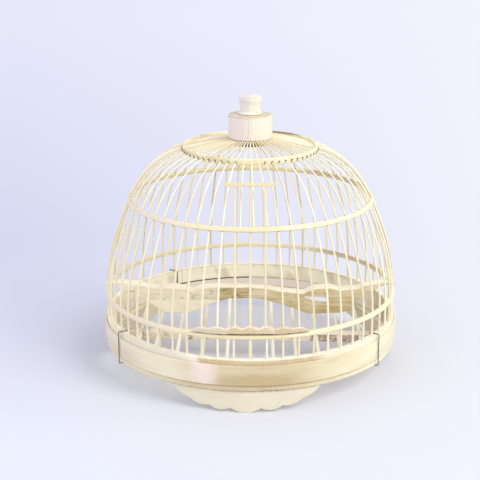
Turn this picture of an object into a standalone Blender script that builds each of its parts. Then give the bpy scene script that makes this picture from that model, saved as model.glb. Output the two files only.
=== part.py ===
"""A round bamboo bird cage with a sliding wire-bar door.

Metres, +Z up. The cage stands on z = 0 with its axis on the Z axis and its
door towards -Y. Angles are measured from the front, positive towards +X.
"""

import math

import bmesh
import bpy
from mathutils import Vector

# Clearances
SEAT_GAP = 0.0003
BAR_CLEARANCE = 0.00025
ROD_CLEARANCE = 0.0003
JOINT_GAP = 0.0006
CUT_OVERRUN = 0.002

# Round pattern of bars
WALL_RADIUS = 0.1685
BAR_COUNT = 60
BAR_SIDES = 4
BAR_FOOT_RADIUS = 0.0013
BAR_TIP_RADIUS = 0.0008
PANEL_JOINT_BARS = (-3.5, 3.5, 9.5, 15.5, 22.5, 28.5, 35.5, 40.5, 45.5, 50.5)
GATE_BARS = (-1, 0, 1)
WALL_STEPS = 3
DOME_STEPS = 4
WALL_PULL_SHARE = 0.34
DOME_PULL_SHARE = 0.33

# Feet: scalloped boards under the rim, each with its place round it in degrees
FOOT_PLACES = (("front", -1.7), ("rear_right", 107.0), ("rear_left", -111.5))
FOOT_HEIGHT = 0.0252
FOOT_INSET = 0.0015
FOOT_THICKNESS = 0.0055
FOOT_HALF_ANGLE = math.radians(28.6)
# Each row is a cusp, as shares of the half angle and of the height, and how
# far the lobe before it hangs below the line between its cusps.
FOOT_CUSP_SHARES = (
    (0.20, 0.19, 0.22),
    (0.48, 0.27, 0.14),
    (0.74, 0.47, 0.11),
    (1.00, 0.93, 0.08),
)

# Base: lower rim, inner ring that carries the bars, outer band
RIM_INSET = 0.0022
RIM_WIDTH = 0.0080
RIM_HEIGHT = 0.0060
BAND_THICKNESS = 0.0020
BAND_HEIGHT = 0.0238
BAND_BULGE = 0.0007
RING_THICKNESS = 0.0068
RING_HEIGHT = 0.0300
BAR_SETBACK = 0.0024
FOOT_TENON = 0.0060

# Floor, with the rods' places from left to right in shares of the rim's inner radius
ROD_PLACE_SHARES = (
    -0.8086, -0.6798, -0.5190, -0.3405, -0.1638, 0.0, 0.1607, 0.3215, 0.4822, 0.6429, 0.8037
)
FLOOR_ROD_RADIUS = 0.00225
FLOOR_ROD_SIDES = 6
ROD_SOCKET_DEPTH = 0.0035
CROSSBAR_WIDTH = 0.0135
CROSSBAR_HEIGHT = 0.0097
CROSSBAR_FORWARD = 0.0060
CROSSBAR_SLOPE = 0.038
CROSSBAR_OVER_RODS = 0.0010
TENON_WIDTH = 0.0070
TENON_HEIGHT = 0.0045
TENON_LENGTH = 0.0040

# Hoops
LOWER_HOOP_HEIGHT = 0.0873
LOWER_HOOP_THICKNESS = 0.0046
LOWER_HOOP_DEPTH = 0.0050
UPPER_HOOP_RADIUS = 0.1410
UPPER_HOOP_HEIGHT = 0.1981
UPPER_HOOP_THICKNESS = 0.0046
UPPER_HOOP_DEPTH = 0.0055
UPPER_HOOP_LEAN = math.radians(24)
HOOP_RUN = 0.0032
CROWN_RADIUS = 0.0765
CROWN_HEIGHT = 0.2560
CROWN_THICKNESS = 0.0040
CROWN_BELOW_BARS = 0.0029
CROWN_ABOVE_BARS = 0.0043
CROWN_RUN = 0.0040

# Hub, clamp disc and knob
TIP_RADIUS = 0.0205
TIP_RISE = 0.0119
HUB_RADIUS = 0.0255
HUB_HEIGHT = 0.0285
HUB_SKIRT = 0.0017
HUB_SKIRT_DROP = 0.0007
HUB_EDGE = 0.0011
HUB_TOP_RISE = 0.0010
SPIGOT_RADIUS = 0.0100
DISC_THICKNESS = 0.0045
KNOB_STEPS = 32
KNOB_HEIGHT = 0.0195
KNOB_LIP_RADIUS = 0.0131
KNOB_LIP_HEIGHT = 0.0039
KNOB_FLARE = 0.0053
KNOB_NECK_RADIUS = 0.0117
KNOB_FOOT_RADIUS = 0.0140
KNOB_FOOT_RISE = 0.0035
KNOB_EDGE = 0.0008
KNOB_SPIGOT_RADIUS = 0.0050
KNOB_SPIGOT_LENGTH = 0.0080

# Door, and the short bars above and below its opening
DOOR_SIDE_GAP = 0.0093
DOOR_BAR_RADIUS = 0.0012
DOOR_BAR_INSET = 0.0095
DOOR_BAR_LENGTH = 0.1609
DOOR_HEAD_INSET = 0.0006
DOOR_TOP_RAIL_OVERHANG = 0.0115
DOOR_TOP_RAIL_SIZE = 0.0042
DOOR_SILL_HEIGHT = 0.0090
DOOR_SILL_THICKNESS = 0.0044
DOOR_SOCKET_FLOOR = 0.0030
DOOR_LOBES = 3
DOOR_LOBE_SHARE = 0.36
SHORT_BAR_SHIFT = math.radians(1.6)

# Scalloped boards beside the door
BOARD_GAP = 0.0013
BOARD_THICKNESS = 0.0018
BOARD_HEIGHT = 0.0085
BOARD_END_ANGLE = math.radians(21.7)
LOBE_STEPS = 4
# Cusps from the door outwards: place, level and the lobe before it, as shares.
BOARD_CUSP_SHARES = (
    (0.00, 0.77, 0.00),
    (0.50, 0.67, 0.28),
    (1.00, 0.12, 0.35),
)

# Perch
PERCH_OVERHANG = 0.0027
PERCH_HANG = 0.0350
PERCH_DEPTH = 0.0160
PERCH_FLAT_SHARE = 0.72
PERCH_ROUND_SHARE = 0.33
PERCH_SLOT_LENGTH = 0.0055
PERCH_SLOT_WIDTH = 0.0034
# Rows from left to right: place along the half span, then top and underside
# as shares of the hang, measured from the hoop's seat, and share of the depth.
PERCH_SHARES = (
    (-1.000, 0.120, 0.000, 0.70),
    (-0.960, 0.112, 0.000, 0.72),
    (-0.928, 0.103, -0.010, 0.76),
    (-0.903, 0.098, -0.185, 0.80),
    (-0.872, 0.092, -0.251, 0.86),
    (-0.809, 0.060, -0.284, 0.90),
    (-0.732, -0.011, -0.554, 0.95),
    (-0.662, -0.072, -0.772, 1.00),
    (-0.607, -0.085, -0.964, 1.05),
    (-0.579, -0.062, -1.008, 1.05),
    (-0.509, -0.048, -1.014, 1.05),
    (-0.439, -0.122, -1.008, 1.00),
    (-0.397, -0.204, -0.946, 0.95),
    (-0.349, -0.088, -0.852, 1.00),
    (-0.293, -0.047, -0.729, 0.95),
    (-0.223, -0.044, -0.595, 0.95),
    (-0.153, -0.053, -0.489, 0.90),
    (0.000, -0.041, -0.464, 0.90),
    (0.098, -0.091, -0.518, 0.95),
    (0.230, -0.204, -0.714, 0.95),
    (0.321, -0.240, -0.855, 1.00),
    (0.373, -0.277, -0.969, 1.00),
    (0.411, -0.168, -1.017, 1.00),
    (0.474, -0.077, -1.011, 1.05),
    (0.558, -0.072, -1.008, 1.05),
    (0.617, -0.153, -0.995, 1.00),
    (0.662, -0.129, -0.945, 1.00),
    (0.711, -0.093, -0.881, 1.00),
    (0.739, -0.124, -0.591, 0.95),
    (0.788, 0.000, -0.375, 0.90),
    (0.844, 0.045, -0.241, 0.85),
    (0.893, 0.078, -0.115, 0.80),
    (0.928, 0.094, -0.010, 0.76),
    (0.960, 0.105, 0.000, 0.72),
    (1.000, 0.120, 0.000, 0.70),
)
PERCH_SLIT_PLACE_SHARE = 0.453
PERCH_SLIT_DROP_SHARE = 0.555
PERCH_SLIT_FALL_SHARE = 0.35
PERCH_SLIT_LENGTH = 0.0280
PERCH_SLIT_HEIGHT = 0.0064
# The slit's outline, as shares of its length and its height.
PERCH_SLIT_SHARES = (
    (-0.50, 0.50),
    (-0.08, -0.27),
    (0.20, -0.45),
    (0.50, -0.50),
    (0.50, 0.38),
    (-0.08, 0.45),
)

# Wire ties, each with its place among the bars
TIE_BARS = (9.38, 36.17, 50.17)
WIRE_RADIUS = 0.0005
WIRE_SIDES = 5
WIRE_STANDOFF = 0.0003
WIRE_CORNER = 0.0012
WIRE_CORNER_STEPS = 3

# Levels and radii that follow from the sizes above
PITCH = math.tau / BAR_COUNT
RING_OUTER_RADIUS = WALL_RADIUS + BAR_SETBACK
RING_INNER_RADIUS = RING_OUTER_RADIUS - RING_THICKNESS
BAND_INNER_RADIUS = RING_OUTER_RADIUS + SEAT_GAP
BAND_OUTER_RADIUS = BAND_INNER_RADIUS + BAND_THICKNESS
RIM_OUTER_RADIUS = BAND_OUTER_RADIUS - RIM_INSET
RIM_INNER_RADIUS = RIM_OUTER_RADIUS - RIM_WIDTH
FOOT_OUTER_RADIUS = RIM_OUTER_RADIUS - FOOT_INSET
RIM_BOTTOM = FOOT_HEIGHT + SEAT_GAP
RIM_TOP = RIM_BOTTOM + RIM_HEIGHT
BASE_BOTTOM = RIM_TOP + SEAT_GAP
RING_TOP = BASE_BOTTOM + RING_HEIGHT
ROD_LEVEL = RIM_BOTTOM + RIM_HEIGHT / 2
CROSSBAR_TOP = ROD_LEVEL + FLOOR_ROD_RADIUS + CROSSBAR_OVER_RODS
LOWER_HOOP_TOP = LOWER_HOOP_HEIGHT + LOWER_HOOP_DEPTH / 2
PERCH_SEAT = LOWER_HOOP_TOP + SEAT_GAP
PERCH_HALF_SPAN = WALL_RADIUS + PERCH_OVERHANG
PERCH_HALF_DEPTH = PERCH_DEPTH / 2

# The bars' line, as (radius, height): up the wall, over the dome and in to the hub
UP = Vector((0, 1))
UPPER_WAY = Vector((-math.sin(UPPER_HOOP_LEAN), math.cos(UPPER_HOOP_LEAN)))
UPPER_SEAT = Vector((UPPER_HOOP_RADIUS, UPPER_HOOP_HEIGHT))
CROWN_SEAT = Vector((CROWN_RADIUS, CROWN_HEIGHT))
TIP = Vector((TIP_RADIUS, CROWN_HEIGHT + TIP_RISE))
TIP_WAY = (TIP - CROWN_SEAT).normalized()
FOOT_POINT = Vector((WALL_RADIUS, RING_TOP - FOOT_TENON))
LOWER_RUN_END = Vector((WALL_RADIUS, LOWER_HOOP_HEIGHT + HOOP_RUN))
UPPER_RUN = (UPPER_SEAT - UPPER_WAY * HOOP_RUN, UPPER_SEAT + UPPER_WAY * HOOP_RUN)
CROWN_RUN_START = CROWN_SEAT - TIP_WAY * CROWN_RUN

# Door: its own Z axis runs along its bars, from the lower hoop's top at the front
DOOR_HEAD = Vector((0, -(UPPER_HOOP_RADIUS - DOOR_HEAD_INSET), UPPER_HOOP_HEIGHT))
DOOR_ORIGIN = Vector((0, -WALL_RADIUS, LOWER_HOOP_TOP))
DOOR_LEAN = math.atan2(DOOR_HEAD.y - DOOR_ORIGIN.y, DOOR_HEAD.z - DOOR_ORIGIN.z)
DOOR_REST = SEAT_GAP + DOOR_SILL_THICKNESS / 2 * math.sin(DOOR_LEAN)
DOOR_HALF_WIDTH = WALL_RADIUS * math.sin((GATE_BARS[-1] + 1) * PITCH) - DOOR_SIDE_GAP
DOOR_BAR_PITCH = DOOR_HALF_WIDTH - DOOR_BAR_INSET

# The boards stand on the lower hoop outside the bars and start beside the door
BOARD_INNER_RADIUS = WALL_RADIUS + BAR_FOOT_RADIUS + SEAT_GAP
BOARD_OUTER_RADIUS = BOARD_INNER_RADIUS + BOARD_THICKNESS
BOARD_START_ANGLE = math.asin((DOOR_HALF_WIDTH + BOARD_GAP) / BOARD_OUTER_RADIUS)


def radial(radius, angle, height):
    """A point from its radius, its angle from the front and its height."""
    return Vector((radius * math.sin(angle), -radius * math.cos(angle), height))


def mix(start, end, share):
    return start + (end - start) * share


# Mesh tools


def material(name, colour, roughness, metallic=0.0):
    made = bpy.data.materials.new(name)
    made.use_nodes = True
    shader = made.node_tree.nodes["Principled BSDF"]
    shader.inputs["Base Color"].default_value = (*colour, 1.0)
    shader.inputs["Roughness"].default_value = roughness
    shader.inputs["Metallic"].default_value = metallic
    return made


def loft(mesh, rows, ring=False):
    """Joins rows of points, each a closed loop, by quads; a ring's last row meets its first."""
    loops = [[mesh.verts.new(point) for point in row] for row in rows]
    pairs = list(zip(loops, loops[1:]))
    if ring:
        pairs.append((loops[-1], loops[0]))
    else:
        mesh.faces.new(loops[0])
        mesh.faces.new(loops[-1])
    for first, second in pairs:
        for index in range(len(first)):
            after = (index + 1) % len(first)
            mesh.faces.new((first[index], first[after], second[after], second[index]))


def finish(mesh, name, look, parent=None, smooth_angle=math.radians(35)):
    """Turns the mesh into a named object with its material."""
    bmesh.ops.recalc_face_normals(mesh, faces=mesh.faces)
    data = bpy.data.meshes.new(name)
    mesh.to_mesh(data)
    mesh.free()
    data.materials.append(look)
    data.shade_smooth()
    data.set_sharp_from_angle(angle=smooth_angle)
    made = bpy.data.objects.new(name, data)
    bpy.context.scene.collection.objects.link(made)
    made.parent = parent
    return made


def lofted(name, rows, look, parent=None, ring=False):
    mesh = bmesh.new()
    loft(mesh, rows, ring)
    return finish(mesh, name, look, parent)


def as_cutter(made):
    made.hide_render = True
    made.display_type = "WIRE"
    return made


def combine(body, other, operation):
    """Puts a Boolean with the other object on the body."""
    as_cutter(other)
    step = body.modifiers.new(other.name, "BOOLEAN")
    step.operation = operation
    step.solver = "EXACT"
    step.object = other


def turned_solid(name, profile, steps, look, parent=None, start=0.0):
    """A body turned round the Z axis, from (radius, height) points; both ends close on the axis."""
    rows = [
        [radial(radius, start + math.tau * step / steps, height) for step in range(steps)]
        for radius, height in profile
    ]
    return lofted(name, rows, look, parent)


def swept_ring(name, section, look, parent=None, steps=BAR_COUNT, start=0.0, sweep=math.tau):
    """A closed (radius, height) section swept round the Z axis, all the way or along an arc."""
    whole = sweep == math.tau
    count = steps if whole else steps + 1
    rows = [
        [radial(radius, start + sweep * step / steps, height) for radius, height in section]
        for step in range(count)
    ]
    return lofted(name, rows, look, parent, ring=whole)


def tube_rows(points, sides_axis, radii, sides):
    """Rows of a tube along points that lie in planes square to the sideways axis of each."""
    rows = []
    for index, point in enumerate(points):
        before = points[max(index - 1, 0)]
        after = points[min(index + 1, len(points) - 1)]
        along = (after - before).normalized()
        sideways = sides_axis[index]
        across = along.cross(sideways).normalized()
        rows.append(
            [
                point
                + sideways * (radii[index] * math.cos(math.tau * side / sides))
                + across * (radii[index] * math.sin(math.tau * side / sides))
                for side in range(sides)
            ]
        )
    return rows


def box_rows(low, high):
    """The two end rows, along X, of a box between two corners."""
    return [
        [
            Vector((x, low.y, low.z)),
            Vector((x, high.y, low.z)),
            Vector((x, high.y, high.z)),
            Vector((x, low.y, high.z)),
        ]
        for x in (low.x, high.x)
    ]


# The bars' line


def curve(start, start_way, end, end_way, pull_share, steps):
    """Points between start and end, both left out, on a cubic curve with the given end directions."""
    pull = (end - start).length * pull_share
    first = start + start_way * pull
    second = end - end_way * pull
    points = []
    for step in range(1, steps):
        share = step / steps
        rest = 1 - share
        points.append(
            start * rest**3
            + first * (3 * rest**2 * share)
            + second * (3 * rest * share**2)
            + end * share**3
        )
    return points


def wall_line():
    """The bar's (radius, height) points from its foot to the upper hoop."""
    rise = curve(LOWER_RUN_END, UP, UPPER_RUN[0], UPPER_WAY, WALL_PULL_SHARE, WALL_STEPS)
    return [FOOT_POINT, LOWER_RUN_END, *rise, UPPER_RUN[0]]


def dome_line():
    """The bar's (radius, height) points from the upper hoop to its tip."""
    bend = curve(UPPER_RUN[1], UPPER_WAY, CROWN_RUN_START, TIP_WAY, DOME_PULL_SHARE, DOME_STEPS)
    return [UPPER_RUN[1], *bend, CROWN_RUN_START, TIP]


def bar_radius(height):
    """Bars taper with height, from foot to tip."""
    return mix(BAR_FOOT_RADIUS, BAR_TIP_RADIUS, (height - FOOT_POINT.y) / (TIP.y - FOOT_POINT.y))


def add_bar(mesh, line, angles, extra=0.0):
    """Adds a tapered bar along (radius, height) points, each at its own angle round the cage."""
    points = [radial(spot.x, angle, spot.y) for spot, angle in zip(line, angles)]
    sideways = [Vector((math.cos(angle), math.sin(angle), 0)) for angle in angles]
    radii = [bar_radius(spot.y) + extra for spot in line]
    loft(mesh, tube_rows(points, sideways, radii, BAR_SIDES))


def bar_object(name, lines_and_angles, look, extra=0.0):
    mesh = bmesh.new()
    for line, angle in lines_and_angles:
        add_bar(mesh, line, [angle] * len(line), extra)
    return finish(mesh, name, look)


def stubs(name, start, end, angles, look):
    """Drills for a hoop: one straight stub round each bar, between two points of its line."""
    return bar_object(name, [([start, end], angle) for angle in angles], look, BAR_CLEARANCE)


# Base


def lobed_edge(cusps, lobe_steps):
    """Points of an edge made of lobes between cusps, each cusp a (place, level, lobe depth)."""
    points = [cusps[0][:2]]
    for (place, level, _), (next_place, next_level, depth) in zip(cusps, cusps[1:]):
        for step in range(1, lobe_steps + 1):
            share = step / lobe_steps
            points.append(
                (
                    mix(place, next_place, share),
                    mix(level, next_level, share) + depth * math.sin(math.pi * share),
                )
            )
    return points


def foot_edge():
    """The foot's scalloped lower edge, as shares of its half angle and its height."""
    right = [(place, level, -drop) for place, level, drop in FOOT_CUSP_SHARES]
    left = [(-place, level, drop) for place, level, drop in reversed(right)]
    # On the left half a lobe's depth belongs to the cusp after it.
    drops = [row[2] for row in left[:-1]]
    left = [(*left[0][:2], 0.0)] + [(*row[:2], drop) for row, drop in zip(left[1:], drops)]
    return [(place, max(level, 0.0)) for place, level in lobed_edge(left + right, LOBE_STEPS + 1)]


def foot_board(name, middle, look, parent):
    inner = FOOT_OUTER_RADIUS - FOOT_THICKNESS
    rows = []
    for place, level in foot_edge():
        angle = middle + place * FOOT_HALF_ANGLE
        bottom = level * FOOT_HEIGHT
        rows.append(
            [
                radial(FOOT_OUTER_RADIUS, angle, bottom),
                radial(FOOT_OUTER_RADIUS, angle, FOOT_HEIGHT),
                radial(inner, angle, FOOT_HEIGHT),
                radial(inner, angle, bottom),
            ]
        )
    return lofted(name, rows, look, parent)


def rod_half_length(x, radius):
    return math.sqrt(radius**2 - x**2)


def rod_rows(x, half_length, radius):
    """A floor rod from front to back, or the drill for it."""
    return [
        [
            Vector(
                (
                    x + radius * math.cos(math.tau * side / FLOOR_ROD_SIDES),
                    y,
                    ROD_LEVEL + radius * math.sin(math.tau * side / FLOOR_ROD_SIDES),
                )
            )
            for side in range(FLOOR_ROD_SIDES)
        ]
        for y in (-half_length, half_length)
    ]


def crossbar_rows(half, level):
    """The two end rows of the floor's crossbar, of its tenons or of their mortises."""
    rows = []
    for x in (-half.x, half.x):
        y = -CROSSBAR_FORWARD - CROSSBAR_SLOPE * x
        rows.append(
            [
                Vector((x, y - half.y, level - half.z)),
                Vector((x, y + half.y, level - half.z)),
                Vector((x, y + half.y, level + half.z)),
                Vector((x, y - half.y, level + half.z)),
            ]
        )
    return rows


def make_floor(looks, parent):
    """The rods, the crossbar that they pass through and the rim that holds them all."""
    socket = RIM_INNER_RADIUS + ROD_SOCKET_DEPTH
    mesh = bmesh.new()
    for index, place in enumerate(ROD_PLACE_SHARES):
        x = place * RIM_INNER_RADIUS
        reach = rod_half_length(x, socket)
        lofted(
            f"floor_rod_{index + 1:02d}", rod_rows(x, reach, FLOOR_ROD_RADIUS), looks["bamboo"], parent
        )
        loft(mesh, rod_rows(x, reach + SEAT_GAP, FLOOR_ROD_RADIUS + ROD_CLEARANCE))
    drills = finish(mesh, "rod_drills", looks["bamboo"])

    section = [
        (RIM_OUTER_RADIUS, RIM_TOP),
        (RIM_OUTER_RADIUS, RIM_BOTTOM),
        (RIM_INNER_RADIUS, RIM_BOTTOM),
        (RIM_INNER_RADIUS, RIM_TOP),
    ]
    rim = swept_ring("lower_rim", section, looks["bamboo"], parent)
    combine(rim, drills, "DIFFERENCE")

    furthest = CROSSBAR_FORWARD + CROSSBAR_SLOPE * RIM_INNER_RADIUS + CROSSBAR_WIDTH / 2
    reach = rod_half_length(furthest, RIM_INNER_RADIUS) - SEAT_GAP
    half = Vector((reach, CROSSBAR_WIDTH / 2, CROSSBAR_HEIGHT / 2))
    level = CROSSBAR_TOP - CROSSBAR_HEIGHT / 2
    crossbar = lofted("floor_crossbar", crossbar_rows(half, level), looks["aged"], parent)
    tenon = Vector((reach + TENON_LENGTH, TENON_WIDTH / 2, TENON_HEIGHT / 2))
    tenons = lofted("crossbar_tenons", crossbar_rows(tenon, ROD_LEVEL), looks["aged"])
    combine(crossbar, tenons, "UNION")
    combine(crossbar, drills, "DIFFERENCE")
    gap = Vector((SEAT_GAP, SEAT_GAP, SEAT_GAP))
    mortise = lofted("crossbar_mortises", crossbar_rows(tenon + gap, ROD_LEVEL), looks["aged"])
    combine(rim, mortise, "DIFFERENCE")


def make_base(looks, parent):
    for name, place in FOOT_PLACES:
        foot_board("foot_board_" + name, math.radians(place), looks["bamboo"], parent)
    middle = BASE_BOTTOM + BAND_HEIGHT / 2
    section = [
        (BAND_OUTER_RADIUS - BAND_BULGE, BASE_BOTTOM + BAND_HEIGHT),
        (BAND_OUTER_RADIUS, middle),
        (BAND_OUTER_RADIUS - BAND_BULGE, BASE_BOTTOM),
        (BAND_INNER_RADIUS, BASE_BOTTOM),
        (BAND_INNER_RADIUS, BASE_BOTTOM + BAND_HEIGHT),
    ]
    swept_ring("base_band", section, looks["band"], parent)


# Bars


def panel_bars(start, end):
    """The numbers of the bars between two joints of the inner ring."""
    return range(math.ceil(start), math.ceil(end))


def make_panel(name, start, end, looks, parent):
    """One arc of the inner ring with the bars that are glued into it."""
    half_gap = JOINT_GAP / 2 / RING_OUTER_RADIUS
    section = [
        (RING_OUTER_RADIUS, RING_TOP),
        (RING_OUTER_RADIUS, BASE_BOTTOM),
        (RING_INNER_RADIUS, BASE_BOTTOM),
        (RING_INNER_RADIUS, RING_TOP),
    ]
    arc = swept_ring(
        name,
        section,
        looks["bamboo"],
        parent,
        steps=round(end - start),
        start=start * PITCH + half_gap,
        sweep=(end - start) * PITCH - 2 * half_gap,
    )
    full = [*wall_line(), *dome_line()]
    short = [FOOT_POINT, Vector((WALL_RADIUS, LOWER_HOOP_HEIGHT))]
    bars = bar_object(
        name + "_bars",
        [
            (short if number in GATE_BARS else full, number * PITCH)
            for number in panel_bars(start, end)
        ],
        looks["bamboo"],
    )
    combine(arc, bars, "UNION")


def full_bar_angles():
    return [number * PITCH for number in range(BAR_COUNT) if gate_number(number) not in GATE_BARS]


def gate_number(number):
    """Bars past half a turn count back from the front."""
    return number - BAR_COUNT if number > BAR_COUNT / 2 else number


def gate_angles():
    return [number * PITCH for number in GATE_BARS]


def short_bar_line():
    """A bar above the door: from the middle of the upper hoop to the hub."""
    return [UPPER_SEAT, *dome_line()]


def short_bar_angles(number):
    """Its foot stands beside the door's bar, and its tip in its own place at the hub."""
    line = short_bar_line()
    reach = line[0].x - line[-1].x
    return [
        number * PITCH + SHORT_BAR_SHIFT * (spot.x - line[-1].x) / reach for spot in line
    ]


def make_short_bars(looks, parent):
    for index, number in enumerate(GATE_BARS):
        mesh = bmesh.new()
        add_bar(mesh, short_bar_line(), short_bar_angles(number))
        finish(mesh, f"upper_short_bar_{index + 1}", looks["bamboo"], parent)


# Hoops


def hoop_section(seat, way, depth, thickness):
    """A hoop's square section: depth along the bars, thickness across them."""
    out = Vector((way.y, -way.x))
    up = way * (depth / 2)
    out = out * (thickness / 2)
    return [tuple(seat + out + up), tuple(seat + out - up), tuple(seat - out - up), tuple(seat - out + up)]


def make_lower_hoop(looks, parent):
    seat = Vector((WALL_RADIUS, LOWER_HOOP_HEIGHT))
    section = hoop_section(seat, UP, LOWER_HOOP_DEPTH, LOWER_HOOP_THICKNESS)
    hoop = swept_ring("lower_hoop", section, looks["bamboo"], parent, start=PITCH / 2)
    below = seat - UP * HOOP_RUN
    through = stubs("lower_hoop_drills", below, LOWER_RUN_END, full_bar_angles(), looks["bamboo"])
    combine(hoop, through, "DIFFERENCE")
    blind = stubs(
        "lower_hoop_sockets", below, seat + UP * SEAT_GAP, gate_angles(), looks["bamboo"]
    )
    combine(hoop, blind, "DIFFERENCE")


def make_upper_hoop(looks, parent, door):
    section = hoop_section(UPPER_SEAT, UPPER_WAY, UPPER_HOOP_DEPTH, UPPER_HOOP_THICKNESS)
    hoop = swept_ring("upper_hoop", section, looks["bamboo"], parent, start=PITCH / 2)
    through = stubs("upper_hoop_drills", *UPPER_RUN, full_bar_angles(), looks["bamboo"])
    combine(hoop, through, "DIFFERENCE")
    mesh = bmesh.new()
    socket = [UPPER_SEAT - UPPER_WAY * SEAT_GAP, UPPER_RUN[1]]
    for number in GATE_BARS:
        angles = short_bar_angles(number)[:2]
        add_bar(mesh, socket, angles, BAR_CLEARANCE)
    combine(hoop, finish(mesh, "upper_hoop_sockets", looks["bamboo"]), "DIFFERENCE")
    mesh = bmesh.new()
    for x in door_bar_places():
        loft(mesh, door_bar_rows(x, 0.0, DOOR_BAR_LENGTH, BAR_CLEARANCE))
    combine(hoop, finish(mesh, "door_bar_drills", looks["bamboo"], door), "DIFFERENCE")


def make_crown_ring(looks, parent):
    outer = CROWN_RADIUS + CROWN_THICKNESS / 2
    inner = CROWN_RADIUS - CROWN_THICKNESS / 2
    low = CROWN_HEIGHT - CROWN_BELOW_BARS
    high = CROWN_HEIGHT + CROWN_ABOVE_BARS
    section = [(outer, high), (outer, low), (inner, low), (inner, high)]
    ring = swept_ring("crown_ring", section, looks["bamboo"], parent, start=PITCH / 2)
    angles = full_bar_angles()
    end = CROWN_SEAT + TIP_WAY * CROWN_RUN
    combine(ring, stubs("crown_drills", CROWN_RUN_START, end, angles, looks["bamboo"]), "DIFFERENCE")
    mesh = bmesh.new()
    for number in GATE_BARS:
        line = short_bar_line()
        turned = short_bar_angles(number)
        add_bar(mesh, line[-2:], turned[-2:], BAR_CLEARANCE)
    combine(ring, finish(mesh, "crown_short_drills", looks["bamboo"]), "DIFFERENCE")


# Hub and knob


def tip_level(radius):
    """The height of the bars' centre line near the hub."""
    return TIP.y + (radius - TIP.x) * TIP_WAY.y / TIP_WAY.x


def make_hub(looks, parent):
    """The hub, notched over the bar tips, the disc that clamps them from below, and the knob."""
    lift = BAR_TIP_RADIUS + BAR_CLEARANCE + SEAT_GAP
    skirt_inner = HUB_RADIUS - HUB_SKIRT
    skirt_bottom = tip_level(HUB_RADIUS) - HUB_SKIRT_DROP
    under = tip_level(TIP_RADIUS - JOINT_GAP) + lift
    shoulder = skirt_bottom + HUB_HEIGHT
    top = shoulder + HUB_TOP_RISE
    disc_radius = skirt_inner - SEAT_GAP
    disc_bottom = tip_level(disc_radius) - lift - DISC_THICKNESS
    bore = KNOB_SPIGOT_RADIUS + SEAT_GAP
    profile = [
        (SPIGOT_RADIUS, disc_bottom),
        (SPIGOT_RADIUS, under),
        (TIP_RADIUS - JOINT_GAP, under),
        (skirt_inner, tip_level(skirt_inner) + lift),
        (skirt_inner, skirt_bottom),
        (HUB_RADIUS, skirt_bottom),
        (HUB_RADIUS, shoulder - HUB_EDGE),
        (HUB_RADIUS - HUB_EDGE, shoulder),
        (KNOB_FOOT_RADIUS, top),
        (bore, top),
        (bore, top - KNOB_SPIGOT_LENGTH - SEAT_GAP),
    ]
    hub = turned_solid("crown_hub", profile, BAR_COUNT, looks["turned"], parent, start=PITCH / 2)
    ends = [
        Vector((radius, tip_level(radius)))
        for radius in (HUB_RADIUS + CUT_OVERRUN, skirt_inner - JOINT_GAP)
    ]
    angles = [number * PITCH for number in range(BAR_COUNT)]
    combine(hub, stubs("hub_notches", *ends, angles, looks["turned"]), "DIFFERENCE")

    seat = under - SEAT_GAP
    step = TIP_RADIUS - 2 * JOINT_GAP
    section = [
        (disc_radius, tip_level(disc_radius) - lift),
        (disc_radius, disc_bottom),
        (SPIGOT_RADIUS + SEAT_GAP, disc_bottom),
        (SPIGOT_RADIUS + SEAT_GAP, seat),
        (step, seat),
        (step, tip_level(step) - lift),
    ]
    swept_ring("hub_clamp_disc", section, looks["turned"], parent, steps=KNOB_STEPS)

    foot = top + SEAT_GAP
    crown = foot + KNOB_HEIGHT
    lip = crown - KNOB_LIP_HEIGHT
    profile = [
        (KNOB_SPIGOT_RADIUS, foot - KNOB_SPIGOT_LENGTH),
        (KNOB_SPIGOT_RADIUS, foot),
        (KNOB_FOOT_RADIUS, foot),
        (KNOB_FOOT_RADIUS, foot + KNOB_EDGE),
        (KNOB_NECK_RADIUS, foot + KNOB_FOOT_RISE),
        (KNOB_NECK_RADIUS, lip - KNOB_FLARE),
        (KNOB_LIP_RADIUS, lip),
        (KNOB_LIP_RADIUS, crown - KNOB_EDGE),
        (KNOB_LIP_RADIUS - KNOB_EDGE, crown),
    ]
    turned_solid("crown_knob", profile, KNOB_STEPS, looks["turned"], parent)


# Door


def door_bar_places():
    return (-DOOR_BAR_PITCH, 0.0, DOOR_BAR_PITCH)


def door_bar_rows(x, bottom, top, extra=0.0):
    """A door bar along the door's Z axis, or the drill for it."""
    radius = DOOR_BAR_RADIUS + extra
    return [
        [
            Vector(
                (
                    x + radius * math.cos(math.tau * side / BAR_SIDES),
                    radius * math.sin(math.tau * side / BAR_SIDES),
                    z,
                )
            )
            for side in range(BAR_SIDES)
        ]
        for z in (bottom, top)
    ]


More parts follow.
